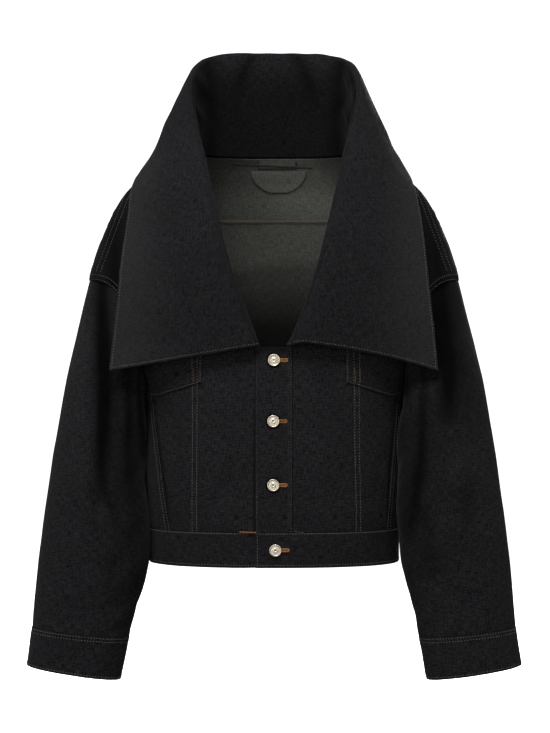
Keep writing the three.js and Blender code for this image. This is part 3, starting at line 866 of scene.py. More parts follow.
def joined(parts: Sequence[Grid]) -> Grid:
    """Joins several sets of vertices and quads into one.

    Args:
        parts: Pairs of vertices and quads.

    Returns:
        One such pair.
    """
    sizes = np.cumsum([0] + [len(vertices) for vertices, _ in parts])[:-1]
    vertices = np.concatenate([vertices for vertices, _ in parts])
    faces = np.concatenate([faces + size for (_, faces), size in zip(parts, sizes)])
    return vertices, faces


class Nodes:
    """A small helper that adds shader nodes and links them."""

    def __init__(self, name: str) -> None:
        """Makes an empty material with a Principled shader.

        Args:
            name: The material's name.
        """
        self.material = bpy.data.materials.new(name)
        self.material.use_nodes = True
        self.tree = self.material.node_tree
        self.shader = self.tree.nodes["Principled BSDF"]

    def add(self, kind: str, **settings: object) -> bpy.types.Node:
        """Adds a node and sets its properties.

        Args:
            kind: The node's type.
            **settings: Properties, or inputs where the name is one of its sockets.

        Returns:
            The node.
        """
        node = self.tree.nodes.new(kind)
        for key, value in settings.items():
            if hasattr(node, key):
                setattr(node, key, value)
            else:
                node.inputs[key.replace("_", " ")].default_value = value
        return node

    def link(self, source: bpy.types.NodeSocket, target: bpy.types.NodeSocket) -> None:
        """Links two sockets."""
        self.tree.links.new(source, target)

    def math(self, operation: str, first: object, second: object) -> bpy.types.NodeSocket:
        """A Math node of two sockets or numbers.

        Args:
            operation: The Math node's operation.
            first: A socket or a number.
            second: A socket or a number.

        Returns:
            The result's socket.
        """
        node = self.tree.nodes.new("ShaderNodeMath")
        node.operation = operation
        for socket, value in zip(node.inputs, (first, second)):
            if isinstance(value, bpy.types.NodeSocket):
                self.link(value, socket)
            else:
                socket.default_value = value
        return node.outputs[0]

    def scaled(
        self, source: bpy.types.NodeSocket, scale: tuple[float, float, float], turn: float = 0.0
    ) -> bpy.types.NodeSocket:
        """The coordinates, scaled and turned about z by a Mapping node.

        Args:
            source: The coordinates' socket.
            scale: The scale along each axis.
            turn: The turn about z, in radians.

        Returns:
            The new coordinates' socket.
        """
        node = self.tree.nodes.new("ShaderNodeMapping")
        node.inputs["Scale"].default_value = scale
        node.inputs["Rotation"].default_value = (0.0, 0.0, turn)
        self.link(source, node.inputs["Vector"])
        return node.outputs["Vector"]

    def noise(self, vector: bpy.types.NodeSocket, scale: float, detail: float) -> bpy.types.NodeSocket:
        """A noise texture's value.

        Args:
            vector: The coordinates' socket.
            scale: The texture's scale.
            detail: How many finer layers it has.

        Returns:
            The value's socket.
        """
        node = self.tree.nodes.new("ShaderNodeTexNoise")
        node.inputs["Scale"].default_value = scale
        node.inputs["Detail"].default_value = detail
        self.link(vector, node.inputs["Vector"])
        return node.outputs["Fac"]

    def ramp(
        self, value: bpy.types.NodeSocket, low: float, high: float, dark: tuple, light: tuple
    ) -> bpy.types.NodeSocket:
        """A colour ramp between two colours.

        Args:
            value: The socket that picks the colour.
            low: The value up to which it is dark.
            high: The value from which it is light.
            dark: The first colour.
            light: The second colour.

        Returns:
            The colour's socket.
        """
        node = self.tree.nodes.new("ShaderNodeValToRGB")
        first, second = node.color_ramp.elements
        first.position = low
        second.position = high
        first.color = dark
        second.color = light
        self.link(value, node.inputs["Fac"])
        return node.outputs["Color"]

    def mix(
        self, share: object, first: object, second: object, blend: str = "MIX"
    ) -> bpy.types.NodeSocket:
        """Mixes two colours.

        Args:
            share: A socket or a number.
            first: A socket or a colour.
            second: A socket or a colour.
            blend: The blend type.

        Returns:
            The mixed colour's socket.
        """
        node = self.tree.nodes.new("ShaderNodeMix")
        node.data_type = "RGBA"
        node.blend_type = blend
        for socket, value in zip((node.inputs[0], node.inputs[6], node.inputs[7]), (share, first, second)):
            if isinstance(value, bpy.types.NodeSocket):
                self.link(value, socket)
            else:
                socket.default_value = value
        return node.outputs[2]


# The near-black that painted shade mixes the cloth's colour towards
PAINTED_SHADE_BLACK = (0.0006, 0.0006, 0.0008, 1)


@dataclass(frozen=True)
class TwillFinish:
    """Twill cloth: its yarn colours, the pitch of its twill lines and its nap."""

    name: str
    warp: tuple[float, float, float, float]
    weft: tuple[float, float, float, float]
    worn: tuple[float, float, float, float]
    fleck: float
    twill_pitch: float = 0.0011
    twill_turn: float = 0.62
    fine_scale: float = 800.0
    slub_scales: tuple[float, float] = (700.0, 100.0)
    warp_stretch: float = 110.0
    dye_scale: float = 9.0
    dye_share: float = 0.55
    slub_share: float = 0.75
    fleck_range: tuple[float, float] = (0.42, 0.58)
    roughness: float = 0.8
    specular: float = 0.04
    sheen: float = 0.03
    relief: float = 0.0002

    def build(self) -> bpy.types.Material:
        """Makes the material.

        Twill lines run slanted over the piece's own UV map. Fine flecks of weft show between
        them, slubs streak along the warp, and the dye is a little uneven. The wear attribute
        lightens folds and the edges of seams, and the painted shade attribute mixes the colour
        towards near-black where shade falls: in folds, corners, seam gaps, under the collar and low inside
        the jacket.

        Returns:
            The material.
        """
        nodes = Nodes(self.name)
        uv = nodes.add("ShaderNodeUVMap", uv_map="cloth").outputs["UV"]
        lines = nodes.add("ShaderNodeTexWave", wave_type="BANDS", bands_direction="X")
        lines.inputs["Scale"].default_value = 2 * np.pi / (20 * self.twill_pitch)
        lines.inputs["Distortion"].default_value = 1.2
        lines.inputs["Detail"].default_value = 1.0
        nodes.link(nodes.scaled(uv, (1, 1, 1), self.twill_turn), lines.inputs["Vector"])
        across, stretched = self.slub_scales
        fine = nodes.noise(nodes.scaled(uv, (1.0, 0.8, 1.0)), self.fine_scale, 2.0)
        warp_slub = nodes.noise(nodes.scaled(uv, (across, self.warp_stretch, 1.0)), 1.0, 2.0)
        weft_slub = nodes.noise(nodes.scaled(uv, (stretched, across, 1.0)), 1.0, 2.0)
        dye = nodes.noise(nodes.scaled(uv, (1.0, 0.6, 1.0)), self.dye_scale, 3.0)
        slubs = nodes.math(
            "ADD", nodes.math("MULTIPLY", warp_slub, 0.5), nodes.math("MULTIPLY", weft_slub, 0.5)
        )
        flecks = nodes.math(
            "ADD",
            nodes.math("MULTIPLY", fine, 1 - self.slub_share),
            nodes.math("MULTIPLY", slubs, self.slub_share),
        )
        cloud = nodes.ramp(flecks, *self.fleck_range, self.warp, self.weft)
        twilled = nodes.mix(
            nodes.math("MULTIPLY", lines.outputs["Fac"], self.fleck), cloud, self.weft
        )
        dyed = nodes.mix(nodes.math("MULTIPLY", dye, self.dye_share), twilled, self.warp)
        wear = nodes.add("ShaderNodeAttribute", attribute_name="wear").outputs["Fac"]
        worn = nodes.mix(nodes.math("MULTIPLY", wear, fine), dyed, self.worn)
        # Painted shade: the colour is mixed towards near-black by this point attribute
        deep = nodes.add("ShaderNodeAttribute", attribute_name="deep").outputs["Fac"]
        nodes.link(nodes.mix(deep, worn, PAINTED_SHADE_BLACK), nodes.shader.inputs["Base Color"])
        rough = nodes.math("ADD", nodes.math("MULTIPLY", fine, 0.12), self.roughness)
        nodes.link(rough, nodes.shader.inputs["Roughness"])
        nodes.shader.inputs["Specular IOR Level"].default_value = self.specular
        nodes.shader.inputs["Sheen Weight"].default_value = self.sheen
        nodes.shader.inputs["Sheen Roughness"].default_value = 0.5
        height = nodes.math("ADD", nodes.math("MULTIPLY", lines.outputs["Fac"], 0.5), flecks)
        relief = nodes.add("ShaderNodeBump", Strength=0.8, Distance=self.relief)
        nodes.link(height, relief.inputs["Height"])
        nodes.link(relief.outputs["Normal"], nodes.shader.inputs["Normal"])
        return nodes.material


@dataclass(frozen=True)
class ThreadFinish:
    """Sewing thread with a faint lustre and an uneven shade."""

    name: str
    shade: tuple[float, float, float, float]
    dark: tuple[float, float, float, float]

    def build(self) -> bpy.types.Material:
        """Makes the material: fine noise between the two shades, with a small bump.

        Returns:
            The material.
        """
        nodes = Nodes(self.name)
        place = nodes.add("ShaderNodeTexCoord").outputs["Object"]
        tone = nodes.noise(place, 700.0, 2.0)
        nodes.link(nodes.ramp(tone, 0.3, 0.7, self.dark, self.shade), nodes.shader.inputs["Base Color"])
        nodes.shader.inputs["Roughness"].default_value = 0.6
        relief = nodes.add("ShaderNodeBump", Strength=0.5, Distance=0.0001)
        nodes.link(nodes.noise(place, 2500.0, 1.0), relief.inputs["Height"])
        nodes.link(relief.outputs["Normal"], nodes.shader.inputs["Normal"])
        return nodes.material


@dataclass(frozen=True)
class MetalFinish:
    """Satin pale gold metal, darker where it is recessed."""

    name: str
    bright: tuple[float, float, float, float]
    dull: tuple[float, float, float, float]

    def build(self) -> bpy.types.Material:
        """Makes the material: cloudy tarnish over the metal and in its hollows.

        Returns:
            The material.
        """
        nodes = Nodes(self.name)
        place = nodes.add("ShaderNodeTexCoord").outputs["Object"]
        cloud = nodes.noise(place, 420.0, 3.0)
        hollow = nodes.add("ShaderNodeAttribute", attribute_name="hollow").outputs["Fac"]
        share = nodes.math("MAXIMUM", hollow, nodes.math("MULTIPLY", cloud, 0.25))
        nodes.link(nodes.mix(share, self.bright, self.dull), nodes.shader.inputs["Base Color"])
        nodes.shader.inputs["Metallic"].default_value = 0.85
        rough = nodes.math("ADD", nodes.math("MULTIPLY", cloud, 0.2), 0.3)
        nodes.link(rough, nodes.shader.inputs["Roughness"])
        return nodes.material


class Finishes:
    """All finishes of the jacket."""

    def __init__(self) -> None:
        """Builds every material once."""
        self.denim = TwillFinish(
            "denim",
            warp=(0.0030, 0.0030, 0.0038, 1),
            weft=(0.0275, 0.0275, 0.0292, 1),
            worn=(0.042, 0.042, 0.043, 1),
            fleck=0.2,
        ).build()
        # The collar's copy of the denim, with a darker weft than the body's: painted shade on the collar
        self.collar = TwillFinish(
            "collar_denim",
            warp=(0.0030, 0.0030, 0.0037, 1),
            weft=(0.0245, 0.0245, 0.0262, 1),
            worn=(0.042, 0.042, 0.043, 1),
            fleck=0.2,
        ).build()
        self.inside = TwillFinish(
            "inside_cloth",
            warp=(0.065, 0.068, 0.058, 1),
            weft=(0.165, 0.170, 0.150, 1),
            worn=(0.24, 0.245, 0.22, 1),
            fleck=0.3,
            twill_turn=-0.62,
        ).build()
        self.label = TwillFinish(
            "label_tape",
            warp=(0.080, 0.083, 0.072, 1),
            weft=(0.165, 0.170, 0.150, 1),
            worn=(0.20, 0.20, 0.18, 1),
            fleck=0.2,
            twill_pitch=0.0008,
        ).build()
        self.tape = TwillFinish(
            "loop_tape",
            warp=(0.020, 0.021, 0.018, 1),
            weft=(0.055, 0.056, 0.049, 1),
            worn=(0.08, 0.08, 0.07, 1),
            fleck=0.2,
            twill_pitch=0.0008,
        ).build()
        self.cream = ThreadFinish("cream_thread", (0.25, 0.225, 0.165, 1), (0.12, 0.105, 0.075, 1)).build()
        self.overlock = ThreadFinish(
            "overlock_thread", (0.105, 0.080, 0.054, 1), (0.068, 0.054, 0.037, 1)
        ).build()
        self.tan = ThreadFinish("tan_thread", (0.42, 0.165, 0.030, 1), (0.24, 0.090, 0.015, 1)).build()
        self.brown = ThreadFinish("brown_thread", (0.12, 0.062, 0.026, 1), (0.06, 0.032, 0.014, 1)).build()
        self.grey = ThreadFinish("grey_thread", (0.05, 0.052, 0.047, 1), (0.03, 0.031, 0.028, 1)).build()
        self.gold = MetalFinish("pale_gold", (0.93, 0.84, 0.68, 1), (0.35, 0.28, 0.19, 1)).build()


def put_mesh(
    name: str, vertices: Array, faces: Array, materials: Sequence[bpy.types.Material]
) -> bpy.types.Object:
    """Puts vertices and quads into a new object at the origin.

    Args:
        name: The object's name.
        vertices: Points in millimetres.
        faces: Quads of vertex numbers.
        materials: The material slots.

    Returns:
        The object, linked into the scene.
    """
    mesh = bpy.data.meshes.new(name)
    mesh.vertices.add(len(vertices))
    mesh.vertices.foreach_set("co", (np.asarray(vertices) * MM).astype(np.float32).ravel())
    mesh.loops.add(faces.size)
    mesh.loops.foreach_set("vertex_index", faces.astype(np.int32).ravel())
    mesh.polygons.add(len(faces))
    mesh.polygons.foreach_set("loop_start", np.arange(0, faces.size, 4, dtype=np.int32))
    mesh.polygons.foreach_set("loop_total", np.full(len(faces), 4, np.int32))
    mesh.update(calc_edges=True)
    mesh.validate()
    for material in materials:
        mesh.materials.append(material)
    piece = bpy.data.objects.new(name, mesh)
    bpy.context.scene.collection.objects.link(piece)
    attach(piece, BODY)
    return piece


def shell(
    piece: CutPiece, right: bpy.types.Material, wrong: bpy.types.Material
) -> bpy.types.Object:
    """Makes the closed thin shell of a cut piece.

    The right side, the wrong side and the rims share their vertices. Every corner of a face
    gets its place on the cloth, in metres, in the UV map named cloth.

    Args:
        piece: The cut piece.
        right: The right side's material.
        wrong: The wrong side's material.

    Returns:
        The piece's object.
    """
    outer = piece.outer()
    inner = piece.inner()
    if piece.closed:
        outer = outer[:, :-1]
        inner = inner[:, :-1]
    rows, kept = outer.shape[:2]
    columns = len(piece.across) - 1
    size = rows * kept
    j, i = np.meshgrid(np.arange(rows - 1), np.arange(columns), indexing="ij")
    j = j.ravel()
    i = i.ravel()
    low = np.stack((j, j, j + 1, j + 1), axis=1)
    around = np.stack((i, i + 1, i + 1, i), axis=1)
    turned_low = low[:, ::-1]
    turned_around = around[:, ::-1]
    ends = np.arange(columns)
    zero = np.zeros(columns, int)
    one = np.ones(columns, int)
    top = np.full(columns, rows - 1)
    parts = [
        (np.zeros_like(low), low, around),
        (np.ones_like(low), turned_low, turned_around),
        (np.stack((zero, zero, one, one), 1), np.zeros((columns, 4), int),
         np.stack((ends + 1, ends, ends, ends + 1), 1)),
        (np.stack((zero, zero, one, one), 1), np.stack((top, top, top, top), 1),
         np.stack((ends, ends + 1, ends + 1, ends), 1)),
    ]
    if not piece.closed:
        lines = np.arange(rows - 1)
        nil = np.zeros(rows - 1, int)
        unit = np.ones(rows - 1, int)
        last = np.full((rows - 1, 4), columns)
        parts += [
            (np.stack((nil, nil, unit, unit), 1), np.stack((lines, lines + 1, lines + 1, lines), 1),
             np.zeros((rows - 1, 4), int)),
            (np.stack((nil, nil, unit, unit), 1), np.stack((lines + 1, lines, lines, lines + 1), 1),
             last),
        ]
    sheet = np.concatenate([part[0] for part in parts])
    row = np.concatenate([part[1] for part in parts])
    column = np.concatenate([part[2] for part in parts])
    faces = sheet * size + row * kept + column % kept
    vertices = np.concatenate((outer.reshape(-1, 3), inner.reshape(-1, 3)))
    made = put_mesh(f"{piece.name}_cloth", vertices, faces, (right, wrong))
    mesh = made.data
    spread = piece.along_run - piece.along_run[:, -1:] / 2
    place = np.stack((spread, piece.up_run), axis=2) * MM
    mesh.uv_layers.new(name="cloth").data.foreach_set(
        "uv", place[row.ravel(), column.ravel()].astype(np.float32).ravel()
    )
    face_count = [len(part[0]) for part in parts]
    wrong_side = np.repeat([0, 1] + [0] * (len(parts) - 2), face_count).astype(np.int32)
    mesh.polygons.foreach_set("material_index", wrong_side)
    smooth = np.repeat([True, True] + [False] * (len(parts) - 2), face_count)
    mesh.polygons.foreach_set("use_smooth", smooth)
    wear = piece.wear[:, :kept].ravel()
    values = np.concatenate((wear, 0.3 * wear)).clip(0, 1).astype(np.float32)
    mesh.attributes.new("wear", "FLOAT", "POINT").data.foreach_set("value", values)
    # The painted shade of the right and the wrong side, in one point attribute
    deep = np.concatenate((piece.deep[:, :kept].ravel(), piece.painted_shade_inside[:, :kept].ravel()))
    mesh.attributes.new("deep", "FLOAT", "POINT").data.foreach_set(
        "value", deep.clip(0, 1).astype(np.float32)
    )
    mesh.update()
    return made


def declare(
    made: bpy.types.Object, piece: CutPiece,
    sewing: Sequence[bpy.types.Object],
) -> None:
    """Lets a cloth piece stand for its solid and states its cut.

    The flat size is the piece's longest run across and up, with a seam allowance all round.

    Args:
        made: The piece's object.
        piece: The cut piece, which has its node's name.
        sewing: Other objects that go with it; not used.
    """
    width = float(piece.along_run[:, -1].max())
    length = float(piece.up_run[-1].max())
    allowance = min(SEAM_ALLOWANCE, 0.07 * min(width, length))
    width += 2 * allowance
    length += 2 * allowance
    cells = run_area(piece.points)
    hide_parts(piece.name)
    log.info("%s: cut %.0f by %.0f mm, %d faces", made.name, width, length, len(made.data.polygons))


def run_area(points: Array) -> float:
    """The area of a grid of points, as the sum of its cells' half cross products.

    Args:
        points: The grid.

    Returns:
        The area.
    """
    one = points[1:, 1:] - points[:-1, :-1]
    two = points[1:, :-1] - points[:-1, 1:]
    return float(np.linalg.norm(np.cross(one, two), axis=2).sum() / 2)


@dataclass
class Workroom:
    """Sews finished pieces: collects the rows of stitches and makes one mesh of each kind."""

    finishes: Finishes
    parts: dict[str, list[Grid]] = field(default_factory=dict)
    shades: dict[str, bpy.types.Material] = field(default_factory=dict)

    def row(
        self, group: str, shade: bpy.types.Material, path: Grid, thread: Thread = Thread(),
        offset: float = 0.6,
    ) -> None:
        """Adds a row of stitches along points and normals.

        Args:
            group: The mesh that it goes into.
            shade: The thread's material.
            path: Points and normals.
            thread: The thread.
            offset: Where the first stitch starts.
        """
        self.keep(group, shade, thread.stitches(*path, offset=offset))

    def keep(self, group: str, shade: bpy.types.Material, part: Grid) -> None:
        """Adds finished stitches to a group."""
        self.parts.setdefault(group, []).append(part)
        self.shades[group] = shade

    def make(self, group: str) -> bpy.types.Object:
        """Makes the mesh of one group.

        Args:
            group: The group's name, which the mesh gets.

        Returns:
            The group's object.
        """
        made = put_mesh(group, *joined(self.parts.pop(group)), (self.shades[group],))
        made.data.polygons.foreach_set("use_smooth", np.ones(len(made.data.polygons), bool))
        log.info("%s: %d faces", made.name, len(made.data.polygons))
        return made


@dataclass
class SewnPart:
    """A sub-assembly that is cut and sewn in the workroom."""

    workroom: Workroom

    @property
    def finishes(self) -> Finishes:
        """The workroom's finishes."""
        return self.workroom.finishes

    def stitch(self, group: str, piece: CutPiece, *paths: Grid, thread: Thread = Thread()) -> None:
        """Sews a cream row along each path of a piece.

        Args:
            group: The mesh that the rows go into.
            piece: The cut piece.
            *paths: Shares across and up.
            thread: The thread.
        """
        for path in paths:
            self.workroom.row(group, self.finishes.cream, path_on(piece, path), thread)

    def stitch_lap(self, group: str, piece: CutPiece, edge: Edge) -> None:
        """Sews both rows of a lapped seam."""
        self.stitch(group, piece, *(piece.beside(edge, distance) for distance in LAP_ROWS))

    def finish(self, piece: CutPiece, on: Sequence[str], *groups: str) -> None:
        """Makes a piece of denim and the sewing that goes with it.

        Args:
            piece: The cut piece.
            on: The names of what it hangs from; not used.
            *groups: The groups of stitches on it.
        """
        made = shell(piece, self.finishes.denim, self.finishes.inside)
        declare(made, piece, [self.workroom.make(group) for group in groups])


# Folds on the front yokes with painted shade: the shadow beside the collar's edge
YOKE_FOLDS = (
    Fold((-226.0, -80.0), (-232.0, -250.0), 11.0, 0.5, 0.85),
    Fold((230.0, -80.0), (236.0, -250.0), 12.0, 0.5, 0.9),
)
SHOULDER_ROWS = (
    ((206.0, -48.0), (249.0, -171.0)),
    ((213.0, -48.0), (256.0, -169.0)),
)
# Folds on the fronts with painted shade: dark lines beside the pocket seams and the placket's edge, shade
# beside the sleeves and in soft folds
BODY_FOLDS = (
    Fold((-173.0, -338.0), (-145.5, -550.0), 2.6, 0.6, 1.1),
    Fold((168.0, -390.0), (160.0, -545.0), 2.4, 0.5, 1.0),
    Fold((-27.0, -340.0), (-27.0, -570.0), 2.0, 0.3, 0.6),
    Fold((-190.0, -350.0), (-188.0, -560.0), 6.0, 0.5, 0.6),
    Fold((190.0, -350.0), (188.0, -560.0), 7.0, 0.5, 0.7),
    Fold((-180.0, -352.0), (-178.0, -470.0), 9.0, 0.8, 0.3),
    Fold((178.0, -350.0), (176.0, -480.0), 9.0, 0.8, 0.3),
    Fold((60.0, -300.0), (96.0, -400.0), 9.0, 1.2, 0.12),
    Fold((-52.0, -420.0), (-96.0, -520.0), 9.0, 1.2, 0.12),
)
PRINCESS_ON_FLAP = {Side.LEFT: (11.0, 19.5), Side.RIGHT: (6.5, 14.2)}

# The creases of the centre, the middle and the side panel
FRONT_CREASES = (
    (
        Crease((0.2, 0.95), (0.75, 0.62), 9.0, 1.4),
        Crease((0.1, 0.55), (0.6, 0.47), 8.0, 0.9),
        Crease((0.85, 0.4), (0.5, 0.1), 10.0, 1.2),
        Crease((0.3, 0.3), (0.35, 0.03), 7.0, 0.8),
    ),
    (
        Crease((0.3, 0.7), (0.55, 0.35), 9.0, 1.6),
        Crease((0.65, 0.45), (0.5, 0.1), 8.0, 1.2),
    ),
    (
        Crease((0.5, 0.75), (0.45, 0.3), 9.0, 1.8),
        Crease((0.4, 0.3), (0.7, 0.05), 7.0, 1.0),
    ),
)


@dataclass(frozen=True)
class FrontSizes:
    """Where the seams of one front lie, at the yoke seam and at the waistband."""

    side: Side
    princess_top: float
    princess_bottom: float
    pocket_top: float
    pocket_bottom: float


@dataclass
class Fronts(SewnPart):
    """One front of the body: centre, middle and side panels, yoke and pointed flap.

    Widths and lengths are about those of the cloth, and set how fine the grids are.
    """

    sizes: FrontSizes
    panel_rows: int = 10
    side_seam_rows: int = 7
    panel_widths: tuple[float, float, float] = (85.0, 65.0, 45.0)
    panel_length: float = 269.0
    yoke_size: tuple[float, float] = (200.0, 260.0)
    # Painted shade over the whole front yoke, which lies in the collar's shadow
    yoke_depth: float = 0.67
    flap_size: tuple[float, float] = (83.0, 75.0)
    flap_x: tuple[float, float, float] = (101.0, 165.0, 184.0)
    flap_heights: tuple[float, float, float] = (-326.0, -346.0, -340.0)
    flap_point_share: float = 5 / 9
    flap_row: float = 1.9
    coarse_step: float = 4.5
    hand: Hand = Hand(0.9, 95.0, 0.35, 34.0, 11)

    def side_edge(self, v: Array) -> Grid:
        """The panels' outer edge: the side seam, then the lower armhole.

        Args:
            v: Shares of the panels' height.

        Returns:
            Angles and places.
        """
        q = v * self.panel_rows
        seam_height = lerp(WAISTBAND_TOP, ARMHOLE.under_z, np.clip(q / self.side_seam_rows, 0, 1))
        share = 1.0 - np.clip(q - self.side_seam_rows, 0, None) / ARMHOLE.nodes
        arm_angle, arm_place = ARMHOLE.corner(share)
        low = q < self.side_seam_rows
        place = np.where(low, BODY_FORM.place_of(seam_height), arm_place)
        return np.where(low, np.pi / 2, arm_angle), place

    def line(self, bottom: float, top: float, v: Array) -> Grid:
        """A seam that is straight in front view.

        Args:
            bottom: Its x at the waistband.
            top: Its x at the yoke seam.
            v: Shares of the panels' height.

        Returns:
            Angles and places.
        """
        place = self.side_edge(v)[1]
        height = BODY_FORM.height_at(place)
        share = (height - WAISTBAND_TOP) / (YOKE_SEAM_HEIGHT - WAISTBAND_TOP)
        return BODY_FORM.angle_at(lerp(bottom, top, share), place), place

    def inner_edge(self, v: Array) -> Grid:
        """The centre panel's edge beside the placket and the neckline.

        Args:
            v: Shares of the panels' height.

        Returns:
            Angles and places.
        """
        place = self.side_edge(v)[1]
        height = BODY_FORM.height_at(place)
        x = np.maximum(PLACKET_HALF_WIDTH, neck_x(np.maximum(height, NECK_FRONT_HEIGHT)))
        return BODY_FORM.angle_at(x, place), place

    def panel(self, name: str, width: float, start: Callable, end: Callable) -> CutPiece:
        """A panel between two edges, laid out over the body.

        Args:
            name: The node's name.
            width: About how wide it is, for the grid's steps.
            start: The edge nearer the centre front, a function of v.
            end: The edge farther from it.

        Returns:
            The cut piece.
        """
        across = graded(width, 4.0)
        up = graded(self.panel_length, self.coarse_step)
        if self.sizes.side is Side.RIGHT:
            start, end = end, start
        first, place = start(up)
        second, _ = end(up)
        sign = self.sizes.side.value
        angle = sign * lerp(first[:, None], second[:, None], across[None])
        return CutPiece(name, across, up, BODY_FORM.point(angle, place[:, None]))

    def princess(self, v: Array) -> Grid:
        """The seam between the centre and the middle panel."""
        return self.line(self.sizes.princess_bottom, self.sizes.princess_top, v)

    def pocket(self, v: Array) -> Grid:
        """The seam between the middle and the side panel."""
        return self.line(self.sizes.pocket_bottom, self.sizes.pocket_top, v)

    def build(self) -> None:
        """Makes the three panels, the yoke and the flap of this front."""
        word = self.sizes.side.word
        inward = self.sizes.side.inward
        outward = self.sizes.side.outward
        centre_width, middle_width, side_width = self.panel_widths
        centre = self.panel(f"front_centre_{word}", centre_width, self.inner_edge, self.princess)
        middle = self.panel(f"front_middle_{word}", middle_width, self.princess, self.pocket)
        side = self.panel(f"front_side_{word}", side_width, self.pocket, self.side_edge)
        for piece, creases in zip((centre, middle, side), FRONT_CREASES):
            piece.soften(self.hand)
            piece.tucked(Edge.BOTTOM)
            piece.crease(creases)
            piece.fold(BODY_FOLDS)
        centre.settle((Edge.BOTTOM, inward))
        middle.settle((Edge.BOTTOM,))
        side.settle((Edge.BOTTOM, outward))
        centre.tucked(outward)
        centre.tucked(inward, 0.7)
        middle.felled(inward, seed=21)
        middle.tucked(outward, 0.9)
        side.felled(inward, seed=22)
        group = f"sewing_front_{word}"
        self.stitch_lap(group, middle, inward)
        self.stitch_lap(group, side, inward)
        held_by = (f"front_yoke_{word}",)
        self.finish(centre, held_by)
        self.finish(middle, held_by, group)
        self.finish(side, held_by)
        self.yoke()
        self.flap()

    def yoke(self) -> None:
        """Makes the front yoke, a blend of its four edges.

        Two opposite edges are averaged, the other two too, and the corners' blend is taken off.
        """
        word = self.sizes.side.word
        sign = self.sizes.side.value
        outward = self.sizes.side.outward
        across, up = (graded(length, self.coarse_step) for length in self.yoke_size)
        u = (across if sign > 0 else 1.0 - across)[None]
        v = up[:, None]
        bottom = float(BODY_FORM.place_of(np.array(YOKE_SEAM_HEIGHT)))
        arm = ARMHOLE.corner(ARMHOLE.yoke_node / ARMHOLE.nodes * (1.0 - v))
        neck_place = lerp(bottom, BODY_FORM.top, v)
        neck_angle = BODY_FORM.angle_at(neck_x(BODY_FORM.height_at(neck_place)), neck_place)
        neck = (np.minimum(neck_angle, np.pi / 2), neck_place)
        shoulder = (np.full_like(u, np.pi / 2), lerp(BODY_FORM.top, SHOULDER_PLACE, u))
        grids = []
        for n, a, s, ends in zip(neck, arm, shoulder, ((np.pi / 2,) * 2, (BODY_FORM.top, SHOULDER_PLACE))):
            seam = lerp(n[0, 0], a[0, 0], u)
            up_down = lerp(seam, s, v)
            sideways = lerp(n, a, u)
            grids.append(up_down + sideways - lerp(seam, lerp(ends[0], ends[1], u), v))
        piece = CutPiece(f"front_yoke_{word}", across, up, BODY_FORM.point(sign * grids[0], grids[1]))
        piece.soften(self.hand)
        piece.felled(Edge.BOTTOM, seed=31)
        piece.felled(outward, seed=32)
        # Painted shadow of the collar over the whole front yoke
        piece.deep[:] = self.yoke_depth
        piece.fold(YOKE_FOLDS)
        piece.settle((Edge.TOP, Edge.START, Edge.END))
        group = f"sewing_yoke_{word}"
        self.stitch_lap(group, piece, outward)
        self.stitch_lap(group, piece, Edge.BOTTOM)
        for (start_x, start_z), (end_x, end_z) in SHOULDER_ROWS:
            self.stitch(group, piece, piece.crossing((sign * start_x, start_z), (sign * end_x, end_z)))
        self.finish(piece, ("back_yoke",), group)

    def flap(self) -> None:
        """Makes the pointed flap that hangs from the yoke seam."""
        word = self.sizes.side.word
        sign = self.sizes.side.value
        free = self.sizes.side.inward
        across, up = (graded(length, 3.0) for length in self.flap_size)
        u = across if sign > 0 else 1.0 - across
        shares = (0, self.flap_point_share, 1)
        x = np.interp(u, shares, self.flap_x)
        bottom = np.interp(u, shares, self.flap_heights)
        height = lerp(bottom[None], YOKE_SEAM_HEIGHT - 1.0, up[:, None])
        place = BODY_FORM.place_of(height)
        angle = sign * BODY_FORM.angle_at(np.broadcast_to(x[None], place.shape), place)
        points = BODY_FORM.moved(angle, place, np.full(place.shape, FLAP_LIFT + FLAP_CLOTH))
        piece = CutPiece(f"flap_{word}", across, up, points, FLAP_CLOTH)
        piece.soften(self.hand)
        piece.hemmed(Edge.BOTTOM, 41)
        piece.hemmed(free, 42)
        group = f"sewing_flap_{word}"
        self.stitch(group, piece, piece.beside(Edge.BOTTOM, self.flap_row))
        for distance in (self.flap_row, *PRINCESS_ON_FLAP[self.sizes.side]):
            self.stitch(group, piece, piece.beside(free, distance))
        self.finish(piece, (f"front_yoke_{word}",), group)


@dataclass(frozen=True)
class InsideCloth:
    """Sizes of a flat piece of cloth inside the back neck."""

    name: str
    x: float
    width: float
    top: float
    bottom: float
    slant: float
    thickness: float
    lift: float
    rounded: bool = False
    sewn_edges: int = 4
    row_inset: float = 1.0
    narrow: bool = False
    # How dark the painted shadow along the piece's edges is
    outline: float = 0.12


BACK_CREASES = (
    Crease((0.22, 0.55), (0.35, 0.15), 13.0, 3.2),
    Crease((0.78, 0.58), (0.66, 0.12), 12.0, 3.0),
    Crease((0.14, 0.62), (0.28, 0.35), 9.0, 2.4),
    Crease((0.87, 0.6), (0.75, 0.38), 9.0, 2.2),
    Crease((0.45, 0.5), (0.42, 0.08), 11.0, 1.8),
    Crease((0.58, 0.42), (0.57, 0.04), 10.0, -1.5),
    Crease((0.3, 0.86), (0.7, 0.83), 14.0, 1.6),
)
